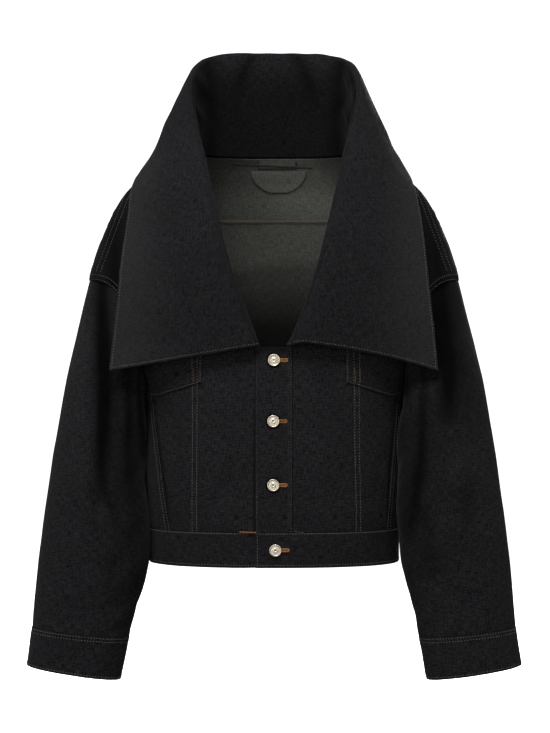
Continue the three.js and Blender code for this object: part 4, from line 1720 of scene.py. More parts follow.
# How fully the half-moon's curve closes, and the painted shade inside the jacket by height, darker towards
# the bottom
HALF_MOON = 0.94
INSIDE_PAINTED_SHADE = ((-300.0, -242.0, -204.0, -129.0, -60.0, 0.0), (0.97, 0.93, 0.78, 0.42, 0.08, 0.0))
OVERLOCK_THREAD = Thread(length=1.0, gap=0.2, radius=0.42, lift=0.25)
FINE_THREAD = Thread(length=2.4, gap=1.4, radius=0.22, lift=0.14)
INSIDE_PIECES = (
    InsideCloth("neck_label", 5, 57, 2.5, -9.5, 0, 0.8, FLAP_LIFT, outline=0.8),
    InsideCloth("hanger_loop", -2, 116, -2.5, -5.5, -6, 0.9, FLAP_LIFT + 1.3, False, 1, 1.5, True),
    InsideCloth("neck_patch", 7, 84, -12, -44, 0, 0.8, FLAP_LIFT, True, 3, 1.6),
)


@dataclass
class Back(SewnPart):
    """The back: one panel up to the yoke seam, the yoke, and what is sewn inside the neck.

    Sizes are about those of the cloth, across and up, and set how fine the grids are.
    """

    rows: int = 22
    arm_start: float = 7.0
    panel_size: tuple[float, float] = (500.0, 470.0)
    yoke_size: tuple[float, float] = (480.0, 130.0)
    coarse_step: float = 5.0
    panel_hand: Hand = Hand(1.1, 120.0, 0.4, 40.0, 51)
    yoke_hand: Hand = Hand(0.5, 90.0, 0.0, 30.0, 55)
    left_shade: float = 0.36
    overlock_inset: float = 3.0
    overlock_half_width: float = 5.0
    overlock_pitch: float = 1.1

    def edge(self, v: Array) -> Grid:
        """The panel's edge: side seam, armhole, then shoulder seam.

        Args:
            v: Shares of the panel's height.

        Returns:
            Angles and places.
        """
        q = v * self.rows
        arm_end = self.arm_start + ARMHOLE.nodes
        seam_height = lerp(WAISTBAND_TOP, ARMHOLE.under_z, np.clip(q / self.arm_start, 0, 1))
        share = 1.0 - np.clip(q - self.arm_start, 0, ARMHOLE.nodes) / ARMHOLE.nodes
        angle, place = ARMHOLE.corner(share)
        low = q < self.arm_start
        high = q > arm_end
        above = lerp(SHOULDER_PLACE, BACK_YOKE_PLACE, np.clip((q - arm_end) / (self.rows - arm_end), 0, 1))
        place = np.where(low, BODY_FORM.place_of(seam_height), np.where(high, above, place))
        angle = np.where(low | high, np.pi / 2, np.pi - angle)
        return np.maximum(angle, np.pi / 2), place

    def laid(self, name: str, up: Array, angle: Array, place: Array, width: float) -> CutPiece:
        """Lays a piece round the back between its edge and the mirrored edge.

        Args:
            name: The node's name.
            up: Its grid's shares up.
            angle: The angle of its edge at each share.
            place: The place of its edge at each share.
            width: About how wide it is, for the grid's steps.

        Returns:
            The cut piece.
        """
        across = graded(width, self.coarse_step)
        grid = lerp(angle[:, None], 2 * np.pi - angle[:, None], across[None])
        return CutPiece(name, across, up, BODY_FORM.point(grid, place[:, None]))

    def build(self) -> None:
        """Makes the back panel, the back yoke and the pieces inside the neck."""
        width, length = self.panel_size
        up = graded(length, self.coarse_step)
        panel = self.laid("back_panel", up, *self.edge(up), width)
        panel.soften(self.panel_hand)
        panel.crease(BACK_CREASES)
        panel.settle(tuple(Edge))
        panel.tucked(Edge.TOP)
        panel.tucked(Edge.BOTTOM)
        panel.felled(Edge.START, seed=53)
        panel.felled(Edge.END, seed=54)
        width, length = self.yoke_size
        up = graded(length, self.coarse_step)
        place = lerp(BACK_YOKE_PLACE, BODY_FORM.top, up)
        yoke = self.laid("back_yoke", up, np.full(len(up), np.pi / 2), place, width)
        yoke.soften(self.yoke_hand)
        yoke.settle(tuple(Edge))
        yoke.felled(Edge.BOTTOM, seed=56)
        # Painted shade on the wrong side: darker towards the bottom, and on the wearer's right near the top
        for piece in (panel, yoke):
            height = piece.points[..., 2]
            left = smoothstep(-piece.points[..., 0], -40.0, 60.0)
            piece.painted_shade_inside = np.interp(height, *INSIDE_PAINTED_SHADE)
            piece.painted_shade_inside += self.left_shade * left * smoothstep(height, -150.0, -50.0)
        seam = path_inside(panel, panel.beside(Edge.TOP, self.overlock_inset, 0.1, 0.9))
        overlock = OVERLOCK_THREAD.satin(*seam, self.overlock_half_width, self.overlock_pitch)
        self.workroom.keep("overlock_back", self.finishes.overlock, overlock)
        self.workroom.make("overlock_back")
        for piece, edges, on in (
            (panel, (Edge.START, Edge.END), "back_yoke"),
            (yoke, (Edge.BOTTOM,), "collar"),
        ):
            group = f"sewing_{piece.name}"
            for edge in edges:
                self.stitch_lap(group, piece, edge)
            self.finish(piece, (on,), group)
        self.inside_neck()

    def patch(self, item: InsideCloth) -> CutPiece:
        """Lays a flat piece on the wrong side of the back yoke.

        Args:
            item: Its sizes.

        Returns:
            The cut piece, whose outer face looks into the jacket.
        """
        across = graded(item.width, 2.0, 1.0, 3.0)
        up = graded(item.top - item.bottom, 2.0, 1.0, 3.0)
        height = lerp(item.bottom, item.top, up[:, None])
        place = BODY_FORM.place_of(height + (across[None] - 0.5) * item.slant)
        wide = np.sqrt(1 - (1 - up) ** 2 * HALF_MOON) if item.rounded else np.ones(len(up))
        x = item.x + (across[None] - 0.5) * item.width * wide[:, None]
        angle = np.pi - BODY_FORM.angle_at(x, place)
        lift = -(CLOTH + item.lift + item.thickness)
        points = BODY_FORM.moved(angle, place, np.full(place.shape, lift))
        return CutPiece(item.name, across, up, points, item.thickness)

    def inside_neck(self) -> None:
        """Makes the blank label, the hanger loop and the half-moon patch, with their rows."""
        for item in INSIDE_PIECES:
            piece = self.patch(item)
            group = f"sewing_{piece.name}"
            edges = (Edge.BOTTOM, Edge.START, Edge.END, Edge.TOP)
            for edge in edges[: item.sewn_edges]:
                path = path_on(piece, piece.beside(edge, item.row_inset))
                self.workroom.row(group, self.finishes.grey, path, FINE_THREAD)
            # Painted shadow along every edge of the piece
            for edge in edges:
                line = bump(piece.from_edge(edge), 0.3, 1.3)
                piece.paint_shade(item.outline * line)
                piece.tucked(edge, 0.45)
            cloth = self.finishes.tape if item.narrow else self.finishes.label
            made = shell(piece, cloth, cloth)
            sewing = self.workroom.make(group)
            if item.narrow:
                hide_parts(piece.name)
                continue
            declare(made, piece, (sewing,))


TACK_THREAD = Thread(length=1.0, gap=0.2, radius=0.3, lift=0.3)

# Each bar tack's start, end and lift, and whether it is brown
BAR_TACKS = (
    ((-48.0, -534.5), (-25.0, -535.0), 1.3, False),
    ((29.0, -534.0), (41.0, -535.5), 1.3, True),
    ((-112.4, -306.0), (-111.0, -324.0), 3.0, True),
    ((-107.0, -322.0), (-101.5, -324.5), 3.0, True),
    ((112.4, -306.0), (113.0, -326.0), 3.0, True),
    ((119.5, -306.0), (120.0, -326.0), 3.0, True),
)

# Each ring's radius and height, and how deep in a hollow it lies
BUTTON_PROFILE = (
    (0.05, -1.8, 0.0),
    (1.8, -1.8, 0.3),
    (1.8, 0.6, 0.6),
    (7.4, 0.75, 0.5),
    (8.3, 1.2, 0.1),
    (8.45, 2.0, 0.0),
    (7.9, 2.75, 0.0),
    (7.1, 2.6, 0.15),
    (6.6, 2.05, 0.8),
    (5.9, 2.0, 0.45),
    (4.0, 2.1, 0.3),
    (3.5, 2.5, 0.2),
    (2.6, 2.75, 0.0),
    (1.6, 2.6, 0.3),
    (0.9, 2.05, 0.9),
    (0.05, 1.95, 0.9),
)


@dataclass
class Placket(SewnPart):
    """The buttoned placket: the over layer, the under layer, buttonholes and buttons."""

    button_places: tuple[tuple[float, float], ...] = ((0, -295), (-1, -380), (-1, -469), (2, -560))
    corner: float = 7.0
    top_rise: float = 4.5
    under_reach: tuple[float, float] = (8.0, 4.0)
    hand: Hand = Hand(0.4, 60.0, 0.0, 30.0, 61)
    # Painted shadow round each button: its darkness and the radii over which it fades
    button_shade: float = 0.97
    shade_radii: tuple[float, float] = (9.0, 12.5)
    eye_radius: float = 2.9
    slit_half_width: float = 1.55
    slit_reach: float = 18.3
    button_sides: int = 64

    def strip(self, name: str, start: float, end: float, offset: float) -> CutPiece:
        """An upright strip at the centre front between two x.

        Args:
            name: The node's name.
            start: Its x at the wearer's right.
            end: Its x at the wearer's left.
            offset: How far it lies outside the form.

        Returns:
            The cut piece.
        """
        across = graded(end - start, 2.5, 1.2, 8.0)
        up = graded(NECK_FRONT_HEIGHT - WAISTBAND_TOP, 3.0)
        rounding = self.corner * (1 - smoothstep((end - start) * across, 0.0, self.corner))
        top = NECK_FRONT_HEIGHT + self.top_rise - rounding
        place = BODY_FORM.place_of(lerp(WAISTBAND_TOP, top[None], up[:, None]))
        x = lerp(start, end, across)[None]
        angle = BODY_FORM.angle_at(np.broadcast_to(x, (len(up), len(across))), place)
        points = BODY_FORM.moved(angle, place, np.full(angle.shape, offset))
        return CutPiece(name, across, up, points)

    def build(self) -> None:
        """Makes both layers with their sewing, the buttonholes and the buttons."""
        right, left = self.under_reach
        over = self.strip("placket_over", -PLACKET_HALF_WIDTH, PLACKET_HALF_WIDTH, 0.0)
        under = self.strip(
            "placket_under", -PLACKET_HALF_WIDTH - right, PLACKET_HALF_WIDTH + left, UNDER_OFFSET)
        over.soften(self.hand)
        over.settle((Edge.END, Edge.BOTTOM), 8.0)
        over.raised += 0.5
        over.hemmed(Edge.START, 62)
        over.felled(Edge.END, 5.0, 0.3, 63)
        # Painted shadow round each button
        for x_place, height in self.button_places:
            away = np.hypot(over.points[..., 0] - x_place, over.points[..., 2] - height)
            over.paint_shade(self.button_shade * (1 - smoothstep(away, *self.shade_radii)))
        # Painted shadow of the collar on the placket's top
        over.paint_shade(0.6 * smoothstep(over.points[..., 2], -292.0, -280.0))
        # Painted shade in the gap along the placket's stitched edge
        over.paint_shade(0.5 * bump(over.from_edge(Edge.END), 0.0, 1.2))
        group = "sewing_placket"
        for edge, distance, end in ((Edge.START, 2.0, 0.3), (Edge.END, LAP_ROWS[0], 1.0)):
            self.stitch(group, over, over.beside(edge, distance, 0.0, end), thread=FINE_THREAD)
        self.finish(over, ("front_centre_left",), group)
        self.finish(under, ("front_centre_left",))
        self.buttonholes()
        self.bar_tacks()
        for number, (x_place, height) in enumerate(self.button_places, 1):
            self.button(number, x_place, height)

    @staticmethod
    def tacked(x: Array, height: Array, lift: float, half_width: float, pitch: float) -> Grid:
        """A satin row over the front.

        Args:
            x: The row's x in front view.
            height: Its heights.
            lift: How far it lies outside the form.
            half_width: Half the length of its stitches.
            pitch: The step from stitch to stitch.

        Returns:
            The stitches' points and faces.
        """
        place = BODY_FORM.place_of(height)
        angle = BODY_FORM.angle_at(x, place)
        points = BODY_FORM.moved(angle, place, np.full(len(place), lift))
        return TACK_THREAD.satin(points, BODY_FORM.normal(angle, place), half_width, pitch)

    def buttonholes(self) -> None:
        """Sews the keyhole buttonholes in satin stitch: a round eye, then two straight sides."""
        for x_place, height in self.button_places:
            outline = self.keyhole(x_place, height)
            part = self.tacked(outline[:, 0], outline[:, 1], 0.75, 1.35, 0.42)
            self.workroom.keep("buttonholes", self.finishes.tan, part)
        self.workroom.make("buttonholes")

    def bar_tacks(self) -> None:
        """Sews the bar tacks at the waistband seam and at the inner ends of the flaps."""
        for start, end, lift, brown in BAR_TACKS:
            t = np.linspace(0.0, 1.0, 12)
            x = lerp(start[0], end[0], t)
            height = lerp(start[1], end[1], t)
            part = self.tacked(x, height, lift, 0.95, 0.9 if brown else 0.5)
            if brown:
                self.workroom.keep("brown_tacks", self.finishes.brown, part)
            else:
                self.workroom.keep("bar_tacks", self.finishes.tan, part)
        self.workroom.make("bar_tacks")
        self.workroom.make("brown_tacks")

    def keyhole(self, x_place: float, height: float) -> Array:
        """The keyhole's outline in front view: an eye round the shank and a bar at its far end.

        Args:
            x_place: The shank's x.
            height: The shank's height.

        Returns:
            The outline's x and heights.
        """
        start = np.arcsin(self.slit_half_width / self.eye_radius)
        turn = np.linspace(start, 2 * np.pi - start, 40)
        ring = self.eye_radius * np.stack((np.cos(turn), np.sin(turn)), axis=1)
        far = np.array((
            (self.slit_reach, -self.slit_half_width),
            (self.slit_reach + 0.8, 0.0),
            (self.slit_reach, self.slit_half_width),
        ))
        outline = np.concatenate((ring, far, ring[:1]))
        return outline + (x_place, height)

    def button(self, number: int, x_place: float, height: float) -> None:
        """Makes one cast button: a rolled rim, a flat ring, a raised centre with a dimple.

        The profile is a run of radii and heights, turned about the button's axis.

        Args:
            number: The button's number from the top.
            x_place: Its x in front view.
            height: Its height.
        """
        place = BODY_FORM.place_of(np.array(height, float))
        angle = BODY_FORM.angle_at(np.array(x_place, float), place)
        normal = BODY_FORM.normal(angle, place)
        centre = BODY_FORM.point(angle, place)
        rings = Table(("radius", "height", "hollow"), BUTTON_PROFILE)
        t = np.linspace(0, rings.last, 4 * rings.last + 1)
        radius = rings.at("radius", t)
        rise = rings.at("height", t)
        sides = self.button_sides
        turn = np.linspace(0, 2 * np.pi, sides, endpoint=False)
        right = np.cross((0.0, 0.0, 1.0), normal)
        right /= np.linalg.norm(right)
        upward = np.cross(normal, right)
        spoke = np.cos(turn)[:, None] * right + np.sin(turn)[:, None] * upward
        points = centre + radius[:, None, None] * spoke[None] + rise[:, None, None] * normal
        j, i = np.meshgrid(np.arange(len(t) - 1), np.arange(sides), indexing="ij")
        j = j.ravel()
        i = i.ravel()
        k = (i + 1) % sides
        faces = np.stack((j * sides + i, j * sides + k, (j + 1) * sides + k, (j + 1) * sides + i), 1)
        made = put_mesh(f"button_{number}_metal", points.reshape(-1, 3), faces, (self.finishes.gold,))
        mesh = made.data
        hollow = np.repeat(rings.at("hollow", t), sides).clip(0, 1).astype(np.float32)
        mesh.attributes.new("hollow", "FLOAT", "POINT").data.foreach_set("value", hollow)
        mesh.polygons.foreach_set("use_smooth", np.ones(len(mesh.polygons), bool))
        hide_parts(f"button_{number}")
        log.info("%s: %d faces", made.name, len(mesh.polygons))


@dataclass
class Waistband(SewnPart):
    """The waistband: one band all round that laps at the centre front.

    The size is about that of the cloth, along and up, and sets how fine the grid is.
    """

    size: tuple[float, float] = (900.0, 49.0)
    dip_run: tuple[float, float] = (22.0, 3.0)
    hand: Hand = Hand(0.45, 70.0, 0.0, 30.0, 71)
    pucker_height: float = 0.18
    pucker_wave: float = 12.0
    rows: tuple[tuple[Edge, float], ...] = ((Edge.TOP, 1.2), (Edge.BOTTOM, 4.0), (Edge.START, 2.6))

    @staticmethod
    def angle_of(x: float) -> float:
        """The angle at an x near the centre front, halfway up the band."""
        return float(BODY_FORM.angle_at(np.array(x), np.array(0.5)))

    def build(self) -> None:
        """Makes the band with the rows at its top, its hem and its front end.

        The end of the band on the wearer's right dips under the other end over a short run.
        """
        lap = PLACKET_HALF_WIDTH
        width, length = self.size
        across = graded(width, 4.0)
        up = graded(length, 2.5, 1.2, 10.0)
        even = lerp(self.angle_of(-lap), 2 * np.pi + self.angle_of(lap - 2), across)[None]
        dip = smoothstep(even, *(2 * np.pi + self.angle_of(-lap - run) for run in self.dip_run))
        place = BODY_FORM.place_of(lerp(HEM_HEIGHT, WAISTBAND_TOP, up))[:, None]
        angle, place = np.broadcast_arrays(even, place)
        points = BODY_FORM.moved(angle, place, UNDER_OFFSET * 1.25 * dip * np.ones_like(place))
        piece = CutPiece("waistband", across, up, points)
        piece.push(self.hand.height(piece.along_run, piece.up_run) * (1 - dip))
        piece.settle((Edge.TOP,), 12.0)
        piece.raised += 0.35 * (1 - dip)
        piece.hemmed(Edge.BOTTOM, 72)
        piece.hemmed(Edge.START, 73)
        piece.wear = np.maximum(piece.wear, 0.9 * bump(piece.from_edge(Edge.TOP), 0.3, 1.2))
        puckers = ripple(piece.along_run, piece.up_run * 0.4, self.pucker_wave, 74)
        piece.raised += self.pucker_height * puckers * (1 - dip)
        group = "sewing_waistband"
        self.stitch(group, piece, *(piece.beside(*row) for row in self.rows))
        self.finish(piece, ("front_centre_left", "back_panel"), group)


@dataclass(frozen=True)
class SleeveSizes:
    """Rows of one sleeve from the armhole to the cuff, its folds and its seed."""

    side: Side
    seed: int
    rows: Table
    folds: Table
    # Folds in front view, with their painted shade
    front_folds: tuple[Fold, ...]


SLEEVE_COLUMNS = ("out_x", "out_z", "in_x", "in_z", "mid_y", "half_depth")
FOLD_COLUMNS = ("start_angle", "end_angle", "start", "end", "width", "depth")


@dataclass
class Sleeve(SewnPart):
    """One sleeve and its cuff: rings that change from the armhole to the wrist.

    The lengths are about those of the cloth, and set how fine the grids are.
    """

    sizes: SleeveSizes
    ring_power: float = 0.92
    armhole_share: float = 0.3
    clearance: float = 0.3
    underarm_lean: float = 26.0
    underarm_pull: float = 11.0
    around: int = 120
    length: float = 500.0
    cuff_length: float = 62.0
    ripple_radius: float = 70.0
    cuff_rows: tuple[tuple[Edge, float], ...] = ((Edge.TOP, 2.0), (Edge.TOP, 6.6), (Edge.BOTTOM, 3.5))

    def ring(self, table: Table, angle: Array, share: Array) -> Array:
        """A point of a ring: an ellipse that is slightly squared, slanted in front view.

        Args:
            table: The rows of the sleeve or the cuff.
            angle: The angle from the outer edge over the front to the inner edge.
            share: The share of the length.

        Returns:
            Points on the wearer's left.
        """
        t = share * table.last
        out_x, out_z, in_x, in_z, mid_y, half_depth = (table.at(name, t) for name in SLEEVE_COLUMNS)
        side = signed_power(np.cos(angle), self.ring_power)
        face = signed_power(np.sin(angle), self.ring_power)
        x = (out_x + in_x) / 2 + (out_x - in_x) / 2 * side
        z = (out_z + in_z) / 2 + (out_z - in_z) / 2 * side
        return np.stack((x, mid_y - half_depth * face, z), axis=-1)

    def folded(self, angle: Array, share: Array) -> Array:
        """How deep the folds press in: half a sine along each fold, a bell curve across it.

        Args:
            angle: Angles round the sleeve.
            share: Shares of its length.

        Returns:
            A depth for each place.
        """
        depth = np.zeros(np.broadcast(angle, share).shape)
        for start_angle, end_angle, start, end, width, deep in self.sizes.folds.rows:
            t = np.clip((share - start) / (end - start), 0, 1)
            middle = lerp(start_angle, end_angle, t)
            away = (np.degrees(angle) - middle + 180) % 360 - 180
            depth = depth + deep * np.sin(np.pi * t) * np.exp(-((away / width) ** 2))
        return depth

    def point(self, angle: Array, share: Array) -> Array:
        """A point of the sleeve: its ring, shifted onto the armhole near its top, with folds.

        Args:
            angle: Angles round the sleeve.
            share: Shares of its length.

        Returns:
            Points on the wearer's left.
        """
        angle, share = np.broadcast_arrays(angle, share)
        rows = self.sizes.rows
        point = self.ring(rows, angle, share)
        near = bump(angle, np.pi, 0.9) * bump(share, 0.12, 0.13) * smoothstep(share, 0.0, 0.03)
        point[..., 1] -= self.underarm_lean * near
        pulled = bump(angle, 0.9 * np.pi, 0.6) * bump(share, 0.15, 0.14) * smoothstep(share, 0.0, 0.04)
        point[..., 0] -= self.underarm_pull * pulled
        shift = ARMHOLE.point(angle) - self.ring(rows, angle, np.zeros_like(share))
        fade = 1 - smoothstep(share, 0.0, self.armhole_share)
        point = point + fade[..., None] * shift
        t = share * rows.last
        centre = np.stack((
            (rows.at("out_x", t) + rows.at("in_x", t)) / 2,
            rows.at("mid_y", t),
            (rows.at("out_z", t) + rows.at("in_z", t)) / 2,
        ), axis=-1)
        inward = centre - point
        inward /= np.linalg.norm(inward, axis=-1, keepdims=True)
        return self.clear_of_body(point + self.folded(angle, share)[..., None] * inward)

    def clear_of_body(self, point: Array) -> Array:
        """Keeps the sleeve just off the body's side below the underarm.

        Args:
            point: Points on the wearer's left.

        Returns:
            The points, moved outward where they were too near.
        """
        x, y, z = (point[..., k] for k in range(3))
        below = ARMHOLE.under_z - z
        place = BODY_FORM.place_of(np.maximum(z, HEM_HEIGHT))
        middle = BODY_FORM.sections.at("middle", place)
        front = BODY_FORM.sections.at("front", place)
        back = BODY_FORM.sections.at("back", place)
        share = np.minimum(np.abs(y - middle) / np.where(y < middle, front, back), 1.0)
        side = BODY_FORM.half_width(place) * (1 - share ** (2 / ROUNDNESS)) ** (ROUNDNESS / 2)
        limit = side + self.clearance * np.clip(below / 12.0, 0, 1)
        beside = (below > 0) & (z > HEM_HEIGHT - 20)
        kept = np.where(beside, np.maximum(x, limit), x)
        return np.stack((kept, y, z), axis=-1)

    def tube(
        self, name: str, maker: Callable[[Array, Array], Array], down: Array, thickness: float,
        thin_top: bool,
    ) -> CutPiece:
        """A closed tube of cloth from a function of angle and share.

        Args:
            name: The node's name.
            maker: Gives the points.
            down: The grid's shares from the lower end up.
            thickness: The cloth's.
            thin_top: Whether the upper end is half as thick.

        Returns:
            The cut piece.
        """
        sign = self.sizes.side.value
        across = np.linspace(0.0, 1.0, self.around + 1)
        angle = 2 * np.pi * ((1 - across) if sign > 0 else across)
        share = (1 - down)[:, None]
        points = maker(np.clip(angle, 0, 2 * np.pi)[None], share)
        points = points * (sign, 1.0, 1.0)
        points[:, -1] = points[:, 0]
        wall = np.full(points.shape[:2], thickness)
        if thin_top:
            wall *= 1 - 0.5 * (1 - smoothstep(share, 0.0, 0.03))
        return CutPiece(name, across, down, points, wall, True)

    def cuff_point(self, angle: Array, share: Array) -> Array:
        """A point of the cuff."""
        return self.ring(CUFF_ROWS, angle, share)

    def unrolled(self, tube: CutPiece, slant: float = 0.0) -> Grid:
        """Places round and along a tube for a ripple that closes all round it.

        Args:
            tube: The sleeve or its cuff.
            slant: How far the places shift for each step along it.

        Returns:
            Both coordinates of each place.
        """
        turn = 2 * np.pi * tube.across[None]
        x = np.cos(turn) * self.ripple_radius + tube.up_run * slant
        return x, np.sin(turn) * self.ripple_radius + tube.up_run

    def build(self) -> None:
        """Makes the sleeve and its cuff with their sewing."""
        word = self.sizes.side.word
        seed = self.sizes.seed
        down = graded(self.length, 4.2)
        sleeve = self.tube(f"sleeve_{word}", self.point, down, CLOTH, True)
        weave = ripple(*self.unrolled(sleeve), 90.0, seed)
        small = ripple(*self.unrolled(sleeve, 0.2), 33.0, seed + 1)
        fade = smoothstep(1 - sleeve.up, 0.0, 0.06)[:, None] * smoothstep(sleeve.up, 0.0, 0.05)[:, None]
        edge_on = 1 - 0.85 * bump(np.cos(2 * np.pi * sleeve.across[None]), 1.0, 0.35)
        sleeve.push((1.3 * weave + 0.5 * small) * fade * edge_on)
        sleeve.fold(self.sizes.front_folds)
        sleeve.points[:, -1] = sleeve.points[:, 0]
        sleeve.tucked(Edge.BOTTOM, 0.4)
        sleeve.tucked(Edge.TOP, 0.4)
        down = graded(self.cuff_length, 3.0)
        cuff = self.tube(f"cuff_{word}", self.cuff_point, down, DOUBLE_CLOTH, False)
        weave = ripple(*self.unrolled(cuff), 60.0, seed + 2)
        cuff.push(0.5 * weave * smoothstep(1 - cuff.up, 0.0, 0.2)[:, None])
        cuff.points[:, -1] = cuff.points[:, 0]
        cuff.raised += 0.3
        cuff.hemmed(Edge.BOTTOM, seed + 3)
        group = f"sewing_sleeve_{word}"
        self.stitch(group, cuff, *(cuff.beside(*row) for row in self.cuff_rows))
        self.finish(sleeve, (f"front_yoke_{word}",))
        self.finish(cuff, (sleeve.name,), group)


CUFF_ROWS = Table(SLEEVE_COLUMNS, ((344, -673, 206, -688, -57, 50), (352, -727, 217, -748, -59, 47)))

# What both sleeves share: out_x, out_z, in_z and half_depth of each row
BOTH_SLEEVES = (
    (268, -180, -342, 78),
    (280, -232, -374, 72),
    (290, -281, -406, 67),
    (299, -330, -438, 63),
    (307, -379, -473, 61),
    (315, -428, -509, 60),
    (322, -477, -545, 58),
    (329, -526, -581, 56),
    (335, -575, -617, 54),
    (340, -624, -652, 52),
    (344, -673, -688, 50),
)


def sleeve_rows(in_x: Sequence[float], mid_y: Sequence[float]) -> Table:
    """The rows of one sleeve.

    Args:
        in_x: The x of its inner edge in each row.
        mid_y: The y of its middle in each row.

    Returns:
        The sleeve's table.
    """
    rows = zip(BOTH_SLEEVES, in_x, mid_y)
    return Table(SLEEVE_COLUMNS, tuple(
        (out_x, out_z, inner, in_z, middle, half_depth)
        for (out_x, out_z, in_z, half_depth), inner, middle in rows
    ))


RIGHT_SLEEVE = SleeveSizes(
    Side.RIGHT,
    90,
    sleeve_rows(
        (191, 192, 190, 187, 184, 178, 176, 178, 187, 197, 206),
        (6, 0, -17, -31, -41, -46, -50, -52, -54, -56, -57),
    ),
    Table(FOLD_COLUMNS, (
        (100, 118, 0.08, 0.62, 16, 9),
        (150, 140, 0.2, 0.7, 14, 5),
        (250, 235, 0.1, 0.6, 16, 7),
        (70, 84, 0.12, 0.5, 9, 2.2),
        (128, 112, 0.36, 0.66, 8, 2.4),
        (60, 96, 0.52, 0.82, 11, 2.4),
        (130, 92, 0.66, 0.93, 10, 1.8),
        (205, 215, 0.15, 0.6, 12, 3.0),
        (290, 275, 0.3, 0.8, 12, 2.6),
        (320, 300, 0.55, 0.95, 12, 2.0),
    )),
    # Folds in front view with painted shade: dark troughs, broad shade on the inner part and shade beside
    # the body
    (
        Fold((-245.0, -110.0), (-241.0, -500.0), 13.0, 5.0, 1.3),
        Fold((-211.0, -270.0), (-198.0, -505.0), 8.0, 3.0, 0.75),
        Fold((-190.0, -290.0), (-187.0, -440.0), 5.0, 1.5, 0.85),
        Fold((-199.0, -280.0), (-205.0, -650.0), 30.0, 0.0, 0.52),
        Fold((-247.0, -425.0), (-217.0, -545.0), 6.0, 2.2, 0.42),
        Fold((-258.0, -470.0), (-246.0, -560.0), 5.0, 1.2, 0.25),
        Fold((-222.0, -560.0), (-236.0, -660.0), 9.0, 1.6, 0.2),
        Fold((-270.0, -230.0), (-272.0, -420.0), 9.0, -1.8, 0.0),
        Fold((-222.0, -300.0), (-224.0, -430.0), 6.0, -2.0, 0.0),
    ),
)
LEFT_SLEEVE = SleeveSizes(
    Side.LEFT,
    80,
    sleeve_rows(
        (191, 192, 184, 177, 174, 174, 177, 181, 190, 199, 206),
        (6, -3, -32, -52, -60, -62, -61, -60, -58, -57, -57),
    ),
    Table(FOLD_COLUMNS, (
        (95, 112, 0.06, 0.5, 16, 9),
        (120, 138, 0.25, 0.75, 14, 6),
        (255, 238, 0.12, 0.65, 16, 7),
        (66, 78, 0.15, 0.48, 9, 2.2),
        (140, 118, 0.4, 0.68, 8, 2.2),
        (58, 90, 0.5, 0.84, 11, 2.6),
        (124, 96, 0.68, 0.94, 10, 1.8),
        (210, 218, 0.2, 0.65, 12, 3.0),
        (292, 280, 0.3, 0.75, 12, 2.6),
        (318, 305, 0.5, 0.95, 12, 2.0),
    )),
    # Folds in front view with painted shade: dark troughs, broad shade on the inner part and shade beside
    # the body
    (
        Fold((242.0, -110.0), (240.0, -392.0), 17.0, 5.0, 1.35),
        Fold((264.0, -110.0), (264.0, -410.0), 28.0, 0.0, 0.6),
        Fold((217.0, -290.0), (191.0, -560.0), 9.0, 3.2, 0.8),
        Fold((180.0, -280.0), (176.0, -375.0), 11.0, 1.0, 0.95),
        Fold((172.0, -350.0), (174.0, -575.0), 7.0, 0.0, 0.8),
        Fold((188.0, -300.0), (194.0, -600.0), 26.0, 0.0, 0.42),
        Fold((232.0, -340.0), (222.0, -480.0), 24.0, 0.0, 0.35),
        Fold((206.0, -500.0), (226.0, -620.0), 9.0, 1.8, 0.25),
        Fold((262.0, -400.0), (274.0, -540.0), 8.0, 1.4, 0.2),
        Fold((268.0, -330.0), (270.0, -470.0), 9.0, -1.6, 0.0),
    ),
)
COLLAR_CREASES = (
    Crease((0.36, 0.34), (0.42, 0.12), 12.0, 3.0),
    Crease((0.345, 0.3), (0.37, 0.08), 10.0, 2.6),
    Crease((0.64, 0.34), (0.58, 0.1), 12.0, 3.0),
    Crease((0.655, 0.3), (0.63, 0.08), 10.0, 2.6),
    Crease((0.4, 0.3), (0.47, 0.2), 10.0, 1.8),
    Crease((0.6, 0.3), (0.54, 0.18), 10.0, 1.6),
    Crease((0.12, 0.5), (0.2, 0.85), 22.0, 2.0),
    Crease((0.88, 0.48), (0.81, 0.88), 22.0, 2.0),
    Crease((0.05, 0.45), (0.12, 0.7), 16.0, 1.4),
    Crease((0.95, 0.5), (0.9, 0.75), 16.0, 1.4),
    Crease((0.3, 0.5), (0.27, 0.95), 20.0, 2.2),
    Crease((0.7, 0.5), (0.73, 0.95), 20.0, 2.2),
    Crease((0.42, 0.55), (0.4, 0.95), 26.0, 2.6),
    Crease((0.57, 0.52), (0.6, 0.9), 26.0, 2.4),
)


